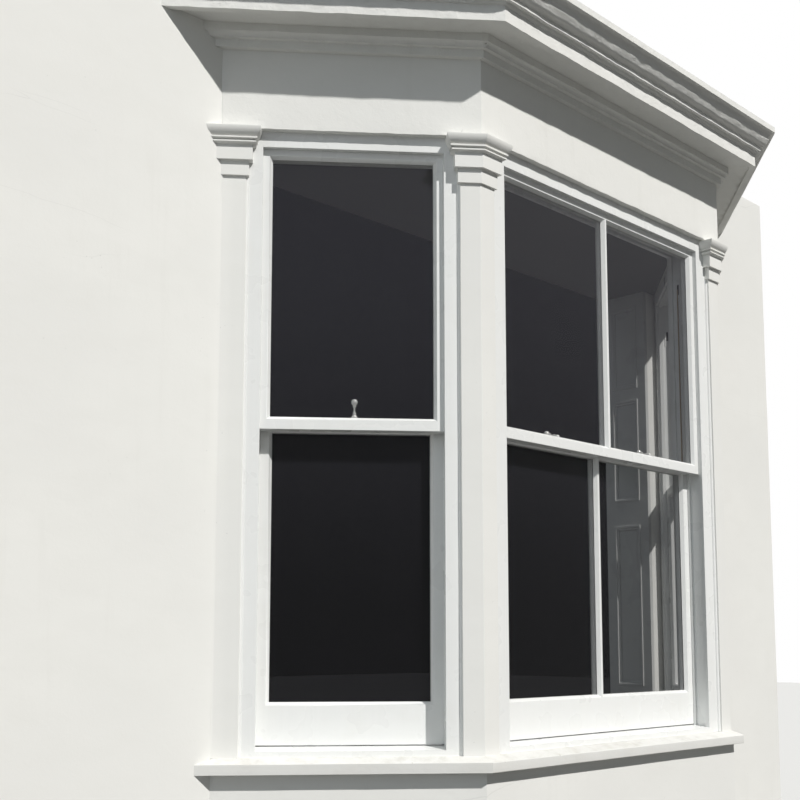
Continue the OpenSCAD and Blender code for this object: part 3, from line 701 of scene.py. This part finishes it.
def arc_run(foot, lip, height, steps=12):
    """Points of a quarter moulding from its foot up to its lip, as projection and height."""
    r = ((lip - foot) ** 2 + height ** 2) / (2 * (lip - foot))
    return [(lip - r + math.sqrt(r * r - (height - height * k / steps) ** 2), height * k / steps)
            for k in range(steps + 1)]


# The capital's section as its solid has it and as old coats have left it: projection beyond the shaft, and
# height above the foot of the ovolo
CAPITAL_CUT = [(0.020, -0.024), (0.030, -0.024), (0.030, -0.014), (0.030, -0.012), (0.038, -0.012),
               (0.038, -0.005), (0.038, 0.0)]
CAPITAL_WORN = [(0.020, -0.024), (0.032, -0.0185), (0.032, -0.0135), (0.024, -0.012), (0.024, -0.008),
                (0.036, -0.006), (0.036, 0.0)]
CAPITAL_CUT += arc_run(0.039, 0.049, OVOLO_H)
CAPITAL_WORN += arc_run(0.030, 0.049, OVOLO_H)


def capital_planes(node):
    """The faces of a capital's shaft, each as a point and the way out."""
    kind, side = node.split("_")[0], node.split("_")[-1]
    side_along, side_in = face_axes(side)
    planes = [(place(side, 0, SHAFT_SET, 0), -side_in)]
    if kind == "wall":
        planes.append((place(side, clear_span(side)[0], 0, 0), side_along))
        return planes
    front_along, front_in = face_axes("front")
    turn = 1 if side == "left" else -1
    planes.append((place(side, clear_span(side)[1], 0, 0), -side_along))
    planes.append((place("front", 0, SHAFT_SET, 0), -front_in))
    planes.append((place("front", turn * clear_span("front")[0], 0, 0), front_along * turn))
    return planes


def nearest_on(section, out, level):
    """How far a point is from a section, and the stretch and the share of it where it comes nearest."""
    best = None
    for k, ((x0, z0), (x1, z1)) in enumerate(zip(section, section[1:])):
        dx, dz = x1 - x0, z1 - z0
        t = min(1.0, max(0.0, ((out - x0) * dx + (level - z0) * dz) / (dx * dx + dz * dz)))
        far = math.hypot(out - x0 - t * dx, level - z0 - t * dz)
        if best is None or far < best[0] - 1e-7:
            best = (far, k, t)
    return best


def rework_capital(bm, node):
    """Moves the points of a capital's section from where its solid has them to where the coats left them."""
    planes = capital_planes(node)
    play, match, same = 0.0005, 0.0006, 0.0004
    (least_out, lowest), (_, highest) = CAPITAL_CUT[0], CAPITAL_CUT[-1]
    for _, level in (CAPITAL_CUT[2], CAPITAL_CUT[5]):
        cut_across(bm, (0, 0, OVOLO_FOOT + level), (0, 0, 1))
    for v in bm.verts:
        level = v.co.z - OVOLO_FOOT
        if not lowest - play < level < highest - same:
            continue
        flat = Vector((v.co.x, v.co.y, 0))
        reach = sorted((((flat - point).dot(way), way) for point, way in planes), key=lambda r: -r[0])
        out = reach[0][0]
        if out < least_out - play:
            continue
        far, k, t = nearest_on(CAPITAL_CUT, out, level)
        if far > match:
            continue
        (x0, z0), (x1, z1) = CAPITAL_WORN[k:k + 2]
        ways = [way for r, way in reach if out - r < same]
        way = ways[0] if len(ways) == 1 else (ways[0] + ways[1]) / (1 + ways[0].dot(ways[1]))
        v.co += way * (x0 + t * (x1 - x0) - out)
        v.co.z = OVOLO_FOOT + z0 + t * (z1 - z0)
    bmesh.ops.remove_doubles(bm, verts=bm.verts, dist=MERGE)
    bm.normal_update()


def held(point):
    """A point brought back into the CAD box."""
    return Vector(min(max(point[i], CAD_LOW[i]), CAD_HIGH[i]) for i in range(3))


def finished(name, bm, material, radius, amount=0.0, smooth_angle=32.0, lumps=0.0):
    """Rounds the weighted edges, moves the points and returns a plain object at the origin."""
    mesh = bpy.data.meshes.new(name)
    bm.to_mesh(mesh)
    bm.free()
    thing = bpy.data.objects.new(name, mesh)
    bpy.context.scene.collection.objects.link(thing)
    rounding = thing.modifiers.new("rounding", "BEVEL")
    rounding.limit_method = "WEIGHT"
    rounding.width = radius
    rounding.segments = 2
    rounding.use_clamp_overlap = True
    flatten(thing)
    for v in thing.data.vertices:
        if lumps:
            v.co = set_back(v.co) + lump(v.co, lumps)
        if amount:
            v.co = held(v.co + wander(v.co, amount))
    thing.data.shade_smooth()
    thing.data.set_sharp_from_angle(angle=math.radians(smooth_angle))
    weighted = thing.modifiers.new("weighted", "WEIGHTED_NORMAL")
    weighted.keep_sharp = True
    flatten(thing)
    thing.data.materials.clear()
    thing.data.materials.append(material)
    return thing


def flatten(thing):
    """Applies an object's modifiers and removes them."""
    graph = bpy.context.evaluated_depsgraph_get()
    graph.update()
    mesh = bpy.data.meshes.new_from_object(
        thing.evaluated_get(graph), preserve_all_data_layers=True, depsgraph=graph)
    old = thing.data
    thing.modifiers.clear()
    thing.data = mesh
    bpy.data.meshes.remove(old)


def settle(thing, *nodes, slot):
    """Fixes a piece to the part's one body and hides the nodes that it stands for; its slot is not used."""
    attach(thing, "root")
    if nodes:
        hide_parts(*nodes)


def refinish(node, material):
    """Gives a CAD node that stays in view another material."""
    for slot in NODES[node].material_slots:
        slot.material = material


def painted_masonry(node, material, slot, settings, radius=None, amount=None, lumps=0.0):
    """Paints a piece of render or stone, rounded and uneven as old coats leave it."""
    bm = closed_bmesh(node)
    grid_cuts(bm, settings.grid)
    if lumps:
        grid_cuts(bm, settings.lump_grid, (0,))
    if "capital" in node:
        rework_capital(bm, node)
    mark_edges(bm, node, MASONRY_EDGE)
    thing = finished(node + "_painted", bm, material, radius or settings.edge_radius,
                     settings.unevenness if amount is None else amount, lumps=lumps)
    settle(thing, node, slot=slot)


def painted_timber(node, material, settings, radius=None, lift=0.0):
    """Paints a timber piece; lift raises its underside, which leaves a shadow gap."""
    bm = closed_bmesh(node)
    foot = min(v.co.z for v in bm.verts)
    for v in bm.verts:
        if v.co.z < foot + NEAR:
            v.co.z += lift
    mark_edges(bm, node, TIMBER_EDGE)
    thing = finished(node + "_painted", bm, material, radius or settings.joinery_radius, smooth_angle=28.0)
    settle(thing, node, slot="painted_joinery")


def mesh_object(name, bm, material, smooth=30.0):
    """Makes an object of a mesh that was built here."""
    bmesh.ops.recalc_face_normals(bm, faces=bm.faces)
    mesh = bpy.data.meshes.new(name)
    bm.to_mesh(mesh)
    bm.free()
    mesh.shade_smooth()
    mesh.set_sharp_from_angle(angle=math.radians(smooth))
    mesh.materials.append(material)
    thing = bpy.data.objects.new(name, mesh)
    bpy.context.scene.collection.objects.link(thing)
    return thing


def turned(bm, outline, frame_matrix, steps=24):
    """Adds a turned form: outline is (radius, height) pairs from foot to top, set by a matrix."""
    rings = []
    for r, h in outline:
        if r < 1e-6:
            rings.append([bm.verts.new(frame_matrix @ Vector((0, 0, h)))])
            continue
        rings.append([bm.verts.new(frame_matrix @ Vector((r * math.cos(a), r * math.sin(a), h)))
                      for a in (2 * math.pi * k / steps for k in range(steps))])
    for a, b in zip(rings, rings[1:]):
        for k in range(steps):
            j = (k + 1) % steps
            corners = [a[k % len(a)], a[j % len(a)], b[j % len(b)], b[k % len(b)]]
            unique = list(dict.fromkeys(corners))
            if len(unique) > 2:
                bm.faces.new(unique)
    for ring in (rings[0], rings[-1]):
        if len(ring) > 2:
            bm.faces.new(ring)


def boxed(bm, frame_matrix, size, centre):
    """Adds a block, set by a matrix."""
    for v in bmesh.ops.create_cube(bm, size=1.0)["verts"]:
        v.co = frame_matrix @ (Vector(centre) + Vector(v.co[i] * size[i] for i in range(3)))


def basis(origin, x, y):
    """A matrix whose axes are x, y and their cross product."""
    x, y = x.normalized(), y.normalized()
    z = x.cross(y)
    return Matrix.Translation(origin) @ Matrix((x, y, z)).transposed().to_4x4()


def heading(turn, rise):
    """The way that a turn from straight into the house and a rise give, both in degrees."""
    a, e = math.radians(turn), math.radians(rise)
    return Vector((math.sin(a) * math.cos(e), math.cos(a) * math.cos(e), math.sin(e)))


# Geometry Nodes trees


class Weave(Wiring):
    """A Geometry Nodes tree with named inputs."""

    def __init__(self, name):
        super().__init__(bpy.data.node_groups.new(name, "GeometryNodeTree"))
        self.ids = {}
        for way in ("INPUT", "OUTPUT"):
            self.tree.interface.new_socket("Geometry", in_out=way, socket_type="NodeSocketGeometry")
        self.start = self.tree.nodes.new("NodeGroupInput")

    def input(self, name, value, kind="NodeSocketFloat"):
        socket = self.tree.interface.new_socket(name, in_out="INPUT", socket_type=kind)
        socket.default_value = value
        self.ids[name] = socket.identifier
        return Sock(self, self.start.outputs[name])

    def finish(self, geometry, material):
        real = self.node("GeometryNodeRealizeInstances", None, {0: geometry})
        done = self.node("GeometryNodeSetMaterial", None, {0: real, "Material": material})
        self.node("NodeGroupOutput", None, {0: done})

    def baked(self, name, mesh, values):
        """Runs the tree on a mesh and returns the result as a plain object."""
        thing = bpy.data.objects.new(name, mesh)
        bpy.context.scene.collection.objects.link(thing)
        modifier = thing.modifiers.new(name, "NODES")
        modifier.node_group = self.tree
        for key, value in values.items():
            modifier[self.ids[key]] = value
        flatten(thing)
        return thing


def board_tree(material):
    """Floor boards laid side by side and cut to the plan of the bay."""
    w = Weave("floor_board_run")
    width, joint, thick, first, near, slope, far, last = (w.input(name, value) for name, value in (
        ("Board width", 0.165), ("Joint", 0.002), ("Thickness", 0.045), ("Front edge", 0.0),
        ("Half width at front", 0.7), ("Widening", 1.19), ("Half width at back", 1.2), ("Back edge", 0.6)))
    count, seed = w.input("Boards", 5, "NodeSocketInt"), w.input("Seed", 4, "NodeSocketInt")
    board = w.node("GeometryNodeMeshCube", None, {
        "Size": w.vector(BOARD_LEN, width - joint, thick), "Vertices X": 53, "Vertices Y": 4})
    line = w.node("GeometryNodeMeshLine", {"mode": "OFFSET"}, {
        "Count": count, "Start Location": w.vector(0.0, first + width * 0.5, thick * -0.5),
        "Offset": w.vector(0.0, width)})
    placed = w.node("GeometryNodeInstanceOnPoints", None, {"Points": line, "Instance": board})
    tone = w.node("FunctionNodeRandomValue", {"data_type": "FLOAT"}, {"Seed": seed}, out=1)
    toned = w.node("GeometryNodeStoreNamedAttribute", {"data_type": "FLOAT", "domain": "INSTANCE"}, {
        "Geometry": placed, "Name": "board_tone", "Value": tone})
    real = w.node("GeometryNodeRealizeInstances", None, {0: toned})
    x, y, z = (w.part(w.node("GeometryNodeInputPosition"), axis) for axis in "XYZ")
    y = w.math("MINIMUM", y, last)
    reach = w.math("MINIMUM", near + (y - first) * slope, far)
    shaped = w.node("GeometryNodeSetPosition", None, {
        "Geometry": real, "Position": w.vector(x / (BOARD_LEN / 2) * reach, y, z)})
    w.finish(shaped, material)
    return w


def screw_tree(material):
    """Slotted screw heads, one on each point, turned to face the way its attribute says."""
    w = Weave("screw_heads")
    across = w.input("Head", 0.007)
    rise = w.input("Rise", 0.0012)
    slot_w = w.input("Slot", 0.001)
    seed = w.input("Seed", 3, "NodeSocketInt")
    head = w.node("GeometryNodeMeshCone", None, {
        "Vertices": 20, "Radius Top": across * 0.38, "Radius Bottom": across * 0.5, "Depth": rise})
    slot = w.node("GeometryNodeMeshCube", None, {"Size": w.vector(across * 1.2, slot_w, rise)})
    lifted = w.node("GeometryNodeTransform", None, {"Geometry": slot, "Translation": w.vector(z=rise)})
    cut = w.node("GeometryNodeMeshBoolean", {"operation": "DIFFERENCE"}, {"Mesh 1": head, "Mesh 2": lifted})
    facing = w.node("GeometryNodeInputNamedAttribute", {"data_type": "FLOAT_VECTOR"}, {"Name": "facing"})
    turn = w.node("FunctionNodeAlignRotationToVector", {"axis": "Z"}, {"Vector": facing})
    spin = w.node("FunctionNodeRandomValue", {"data_type": "FLOAT"}, {2: 0.0, 3: 3.14, "Seed": seed}, out=1)
    spun = w.node("FunctionNodeRotateRotation", {"rotation_space": "LOCAL"}, {
        "Rotation": turn, "Rotate By": w.node("FunctionNodeEulerToRotation", None, {0: w.vector(z=spin)})})
    placed = w.node("GeometryNodeInstanceOnPoints", None, {
        "Points": Sock(w, w.start.outputs[0]), "Instance": cut, "Rotation": spun})
    w.finish(placed, material)
    return w


def screws(name, spots, material, head):
    """Screw heads at the spots given, each a point and the way it faces."""
    mesh = bpy.data.meshes.new(name)
    mesh.from_pydata([p for p, _ in spots], [], [])
    facing = mesh.attributes.new("facing", "FLOAT_VECTOR", "POINT")
    for i, (_, n) in enumerate(spots):
        facing.data[i].vector = n
    sizes = {"Head": head, "Rise": 0.0014, "Slot": 0.0011, "Seed": 3}
    thing = screw_tree(material).baked(name, mesh, sizes)
    thing.data.shade_smooth()
    thing.data.set_sharp_from_angle(angle=math.radians(30))
    return thing


# Operators


class BAYWINDOW_OT_walls(Operator):
    """Paint the house wall and the base walls"""

    bl_idname = "baywindow.walls"
    bl_label = "Walls"

    def execute(self, context):
        settings = context.scene.bay_paint
        paint = wall_paint("masonry_paint", settings.wall_color, grime=0.12, grain=0.12, crazing=0.4)
        for node in RENDER_WALLS:
            painted_masonry(node, paint, "painted_render", settings)
        return {"FINISHED"}


class BAYWINDOW_OT_sills(Operator):
    """Paint the stone sills"""

    bl_idname = "baywindow.sills"
    bl_label = "Sills"

    def execute(self, context):
        settings = context.scene.bay_paint
        paint = stone_paint("sill_paint", shade(settings.wall_color, 0.9))
        for node in each_face("sill"):
            painted_masonry(node, paint, "painted_stone", settings, radius=0.0028, amount=0.0009)
        return {"FINISHED"}


class BAYWINDOW_OT_pilasters(Operator):
    """Paint the pilasters and their capitals"""

    bl_idname = "baywindow.pilasters"
    bl_label = "Pilasters and capitals"

    def execute(self, context):
        settings = context.scene.bay_paint
        paint = wall_paint("pilaster_paint", settings.wall_color, grime=0.08, grain=0.06)
        for node in PILASTERS:
            painted_masonry(node, paint, "painted_render", settings, radius=0.0022, amount=0.0009)
        return {"FINISHED"}


class BAYWINDOW_OT_cornice(Operator):
    """Paint the frieze and the cornice"""

    bl_idname = "baywindow.cornice"
    bl_label = "Frieze and cornice"

    def execute(self, context):
        settings = context.scene.bay_paint
        frieze = wall_paint("frieze_paint", settings.wall_color, grime=0.15, grain=0.25)
        paint = wall_paint("cornice_paint", settings.wall_color, grime=0.25, grain=0.8)
        for node in each_face("frieze"):
            painted_masonry(node, frieze, "painted_render", settings, radius=0.0026, lumps=settings.lumps)
        for node in each_face("cornice"):
            painted_masonry(node, paint, "painted_render", settings, radius=0.0026, lumps=settings.lumps)
        return {"FINISHED"}


class BAYWINDOW_OT_roof(Operator):
    """Weather the sheet lead and the boards under it"""

    bl_idname = "baywindow.roof"
    bl_label = "Roof"

    def execute(self, context):
        lead = sheet_lead("weathered_lead")
        bm = closed_bmesh("lead_roof")
        grid_cuts(bm, spacing=0.08)
        mark_edges(bm, "lead_roof", TIMBER_EDGE)
        thing = finished("lead_roof_dressed", bm, lead, radius=0.002, amount=0.0012)
        settle(thing, "lead_roof", slot="sheet_lead")
        boards = bare_board("roof_boards", (0.50, 0.38, 0.24), (0.36, 0.25, 0.14), 0.6)
        refinish("roof_deck", boards)
        return {"FINISHED"}


def pulley(face, at, out, plates, wheels, cords, spots):
    """Adds a sash pulley with its slotted plate and hanging cord, and notes where the plate's screws go."""
    along, inward = face_axes(face)
    up = Vector((0, 0, 1))
    depth, z = LOWER_FACE + SASH_T / 2, HEAD_Z - PULLEY_DROP
    across = inward if inward.cross(up).dot(out) > 0 else -inward
    m = basis(place(face, at, depth, z), across, up)
    strip, end = ((PLATE_W - SLOT_W) / 2, PLATE_H), (SLOT_W, (PLATE_H - SLOT_H) / 2)
    aside, above = (PLATE_W + SLOT_W) / 4, (PLATE_H + SLOT_H) / 4
    for size, centre in ((strip, (-aside, 0)), (strip, (aside, 0)), (end, (0, above)), (end, (0, -above))):
        boxed(plates, m, (*size, PLATE_T), (*centre, PLATE_T / 2))
    boxed(wheels, m, (SLOT_W + SLOT_LAP, SLOT_H + SLOT_LAP, SLOT_BACK), (0, 0, SLOT_BACK / 2))
    turned(wheels, WHEEL, basis(place(face, at, depth, z + WHEEL_RISE) - out * WHEEL_SINK, inward, up), 28)
    for k in (-PLATE_SCREW_Z, PLATE_SCREW_Z):
        spots.append((place(face, at, depth, z + k) + out * PLATE_T, out))
    foot = place(face, at, depth, MEETING_TOP - CORD_SINK) + out * CORD_OUT
    length = z - MEETING_TOP
    turned(cords, [(CORD_R, length * k / 2) for k in range(3)], basis(foot, along, inward), 10)


def cover_beads(paint):
    """Quarter-round beads in the corners between the linings and the pilasters."""
    bm = bmesh.new()
    steps = 8
    low, high = PILASTER_FOOT + BEAD_GAP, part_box("wall_capital_left")[0][2] + BEAD_LAP
    for face in FACES:
        for at, way in zip(clear_span(face), (1, -1)):
            plan = [(0, 0)] + [(BEAD_R * math.sin(a), BEAD_R * math.cos(a))
                               for a in (math.pi / 2 * k / steps for k in range(steps + 1))]
            rings = [[bm.verts.new(place(face, at + way * (x - BEAD_SINK), LINING_SET + BEAD_SINK - d, z))
                      for x, d in plan] for z in (low, (low + high) / 2, high)]
            for under, over in zip(rings, rings[1:]):
                for k in range(len(plan)):
                    j = (k + 1) % len(plan)
                    bm.faces.new((under[k], under[j], over[j], over[k]))
            bm.faces.new(rings[0])
            bm.faces.new(rings[-1])
    return mesh_object("cover_beads", bm, paint, 40.0)


class BAYWINDOW_OT_frames(Operator):
    """Paint the box frames and hang their cords over the pulleys"""

    bl_idname = "baywindow.frames"
    bl_label = "Window frames"

    def execute(self, context):
        settings = context.scene.bay_paint
        paint = timber_paint("joinery_paint", settings.joinery_color)
        for node in each_face("window_frame"):
            painted_timber(node, paint, settings)
        iron = metal("pulley_metal", (0.10, 0.09, 0.08), 0.4)
        cotton = cord_weave("sash_cord")
        plates, wheels, cords, spots = bmesh.new(), bmesh.new(), bmesh.new(), []
        for face in FACES:
            along = face_axes(face)[0]
            left, right = clear_span(face)
            box = LINING_W[face] - LINING_LAP
            pulley(face, left + box, along, plates, wheels, cords, spots)
            pulley(face, right - box, -along, plates, wheels, cords, spots)
        settle(mesh_object("pulley_plates", plates, paint), slot="painted_joinery")
        settle(mesh_object("sash_pulleys", wheels, iron), slot="polished_metal")
        settle(mesh_object("sash_cords", cords, cotton), slot="painted_joinery")
        settle(screws("pulley_screws", spots, paint, 0.006), slot="painted_joinery")
        settle(cover_beads(paint), slot="painted_joinery")
        return {"FINISHED"}


class BAYWINDOW_OT_sashes(Operator):
    """Paint the sashes"""

    bl_idname = "baywindow.sashes"
    bl_label = "Sashes"

    def execute(self, context):
        settings = context.scene.bay_paint
        paint = timber_paint("sash_paint", settings.joinery_color)
        for node in SASHES:
            painted_timber(node, paint, settings, lift=SASH_GAP if node.startswith("lower") else 0.0)
        return {"FINISHED"}


class BAYWINDOW_OT_glass(Operator):
    """Glaze the sashes"""

    bl_idname = "baywindow.glass"
    bl_label = "Glass"

    def execute(self, context):
        settings = context.scene.bay_glass
        glazing = window_glass("sash_glass", settings.tint, settings.cover)
        for face in FACES:
            refinish("glass_" + face, glazing)
        return {"FINISHED"}


class BAYWINDOW_OT_fasteners(Operator):
    """Turn the sash fasteners"""

    bl_idname = "baywindow.fasteners"
    bl_label = "Sash fasteners"

    def execute(self, context):
        bright = metal("fastener_metal", (0.94, 0.94, 0.92), 0.12, 0.2)
        bm, spots = bmesh.new(), []
        knob = [(KNOB_R * math.sin(a), KNOB_Z - KNOB_R * math.cos(a))
                for a in (math.radians(v) for v in range(24, 180, 12))]
        for face, off, tilt in FASTENERS:
            along, inward = face_axes(face)
            foot = place(face, sum(clear_span(face)) / 2 + off, FASTENER_DEPTH, MEETING_TOP)
            m = basis(foot, -along if face == "right" else along, inward)
            boxed(bm, m, FASTENER_PLATE, (0, 0, FASTENER_PLATE[2] / 2))
            turned(bm, POST, m)
            arm = m @ Matrix.Translation((0, 0, ARM_FOOT)) @ Matrix.Rotation(math.radians(-tilt), 4, "X")
            turned(bm, [*ARM, *knob, (0.0, KNOB_Z + KNOB_R)], arm @ Matrix.Scale(ARM_SCALE, 4), 28)
            apart, height = FASTENER_SCREW
            up = m.to_3x3().col[2].copy()
            spots += [(m @ Vector((0, k, height)), up) for k in (-apart, apart)]
        settle(mesh_object("sash_fasteners_turned", bm, bright), "sash_fasteners", slot="polished_metal")
        settle(screws("fastener_screws", spots, bright, 0.0052), slot="polished_metal")
        return {"FINISHED"}


class BAYWINDOW_OT_inside(Operator):
    """Finish the panelled linings, window board, ceiling and floor"""

    bl_idname = "baywindow.inside"
    bl_label = "Inside"

    def execute(self, context):
        settings = context.scene.bay_paint
        floor = context.scene.bay_floor
        # The linings and the window board take the joinery paint darkened to 0.7: painted shade of the room
        # behind the glass.
        paint = timber_paint("lining_paint", shade(settings.joinery_color, 0.7))
        for node in LININGS:
            painted_timber(node, paint, settings, radius=0.0018)
        # The ceiling's and the opening soffit's plaster is painted nearly black: painted shade of the unlit
        # room above the bay.
        skim = plaster("ceiling_plaster_paint", (0.20, 0.198, 0.192))
        painted_timber("opening_soffit", skim, settings, radius=0.0018)
        refinish("ceiling_plaster", skim)
        wood = bare_board("waxed_boards", (0.36, 0.21, 0.11), (0.20, 0.105, 0.05), 0.34)
        low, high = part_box("floor_boards")
        tree = board_tree(wood)
        length = high[1] - low[1]
        count = math.ceil(length / floor.board_w)
        near = FRONT_W / 2 - WALL_T * math.tan(CANT / 2)
        base = bpy.data.meshes.new("floor_board_seed")
        boards = tree.baked("floor_boards_laid", base, {
            "Board width": length / count, "Joint": floor.joint_w, "Thickness": high[2] - low[2],
            "Front edge": low[1], "Boards": count, "Half width at front": near,
            "Widening": 1 / math.tan(CANT), "Half width at back": high[0], "Back edge": high[1],
            "Seed": floor.seed})
        for v in boards.data.vertices:
            v.co.z += high[2]
        bm = bmesh.new()
        bm.from_mesh(boards.data)
        bmesh.ops.remove_doubles(bm, verts=bm.verts, dist=MERGE)
        edges = [e for e in bm.edges if len(e.link_faces) == 2 and e.calc_face_angle(0) > BOARD_ANGLE]
        bmesh.ops.bevel(bm, geom=edges, offset=BOARD_EDGE, segments=1, affect="EDGES")
        bm.to_mesh(boards.data)
        bm.free()
        settle(boards, "floor_boards", slot="floor_boards")
        return {"FINISHED"}


class BAYWINDOW_OT_stage(Operator):
    """Set the studio floor, lamps and camera"""

    bl_idname = "baywindow.stage"
    bl_label = "Stage"

    def execute(self, context):
        scene = context.scene
        settings = scene.bay_stage
        bm = bmesh.new()
        bmesh.ops.create_grid(bm, x_segments=2, y_segments=2, size=40.0)
        mesh_object("studio_floor", bm, studio_floor_paint(settings.floor_color))
        scene.world = studio_world(settings)
        for name, (turn, rise), power, spread, color in (
            ("key", KEY_WAY, settings.key_power, settings.key_spread, (1.0, 0.98, 0.95)),
            ("back", BACK_WAY, settings.key_power * BACK_SHARE, BACK_SPREAD, (0.95, 0.97, 1.0)),
        ):
            data = bpy.data.lights.new(name, "SUN")
            data.energy, data.angle, data.color = power, spread, color
            lamp = bpy.data.objects.new(name, data)
            way = heading(turn, rise)
            lamp.location = way * LAMP_AWAY
            lamp.rotation_euler = (-way).to_track_quat("-Z", "Y").to_euler()
            scene.collection.objects.link(lamp)
        data = bpy.data.cameras.new("camera")
        data.sensor_width, data.lens, data.shift_y = 36.0, CAMERA_LENS, CAMERA_SHIFT
        camera = bpy.data.objects.new("camera", data)
        camera.location = CAMERA_AT
        camera.rotation_euler = heading(CAMERA_TURN, CAMERA_RISE).to_track_quat("-Z", "Y").to_euler()
        scene.collection.objects.link(camera)
        scene.camera = camera
        scene.view_settings.view_transform = "Standard"
        return {"FINISHED"}


class BAYWINDOW_PT_panel(Panel):
    """Lists the steps that dress the bay window"""

    bl_label = "Bay Window"
    bl_idname = "BAYWINDOW_PT_panel"
    bl_space_type = "VIEW_3D"
    bl_region_type = "UI"
    bl_category = "Bay Window"

    def draw(self, context):
        layout = self.layout
        for group in GROUPS:
            settings = getattr(context.scene, group)
            box = layout.box()
            for name in settings.__annotations__:
                box.prop(settings, name)
        for step in STEPS:
            layout.operator(step.bl_idname)


GROUPS = {"bay_paint": BayPaintSettings, "bay_glass": BayGlassSettings, "bay_floor": BayFloorSettings,
          "bay_stage": BayStageSettings}
STEPS = (BAYWINDOW_OT_stage, BAYWINDOW_OT_walls, BAYWINDOW_OT_sills, BAYWINDOW_OT_pilasters,
         BAYWINDOW_OT_cornice, BAYWINDOW_OT_roof, BAYWINDOW_OT_frames, BAYWINDOW_OT_sashes,
         BAYWINDOW_OT_glass, BAYWINDOW_OT_fasteners, BAYWINDOW_OT_inside)


def register():
    for cls in (*GROUPS.values(), *STEPS, BAYWINDOW_PT_panel):
        bpy.utils.register_class(cls)
    for name, cls in GROUPS.items():
        setattr(bpy.types.Scene, name, PointerProperty(type=cls))


def unregister():
    for name in GROUPS:
        delattr(bpy.types.Scene, name)
    for cls in reversed((*GROUPS.values(), *STEPS, BAYWINDOW_PT_panel)):
        bpy.utils.unregister_class(cls)


def main():
    register()
    for step in STEPS:
        group, name = step.bl_idname.split(".")
        getattr(getattr(bpy.ops, group), name)()


if __name__ == "__main__":
    main()
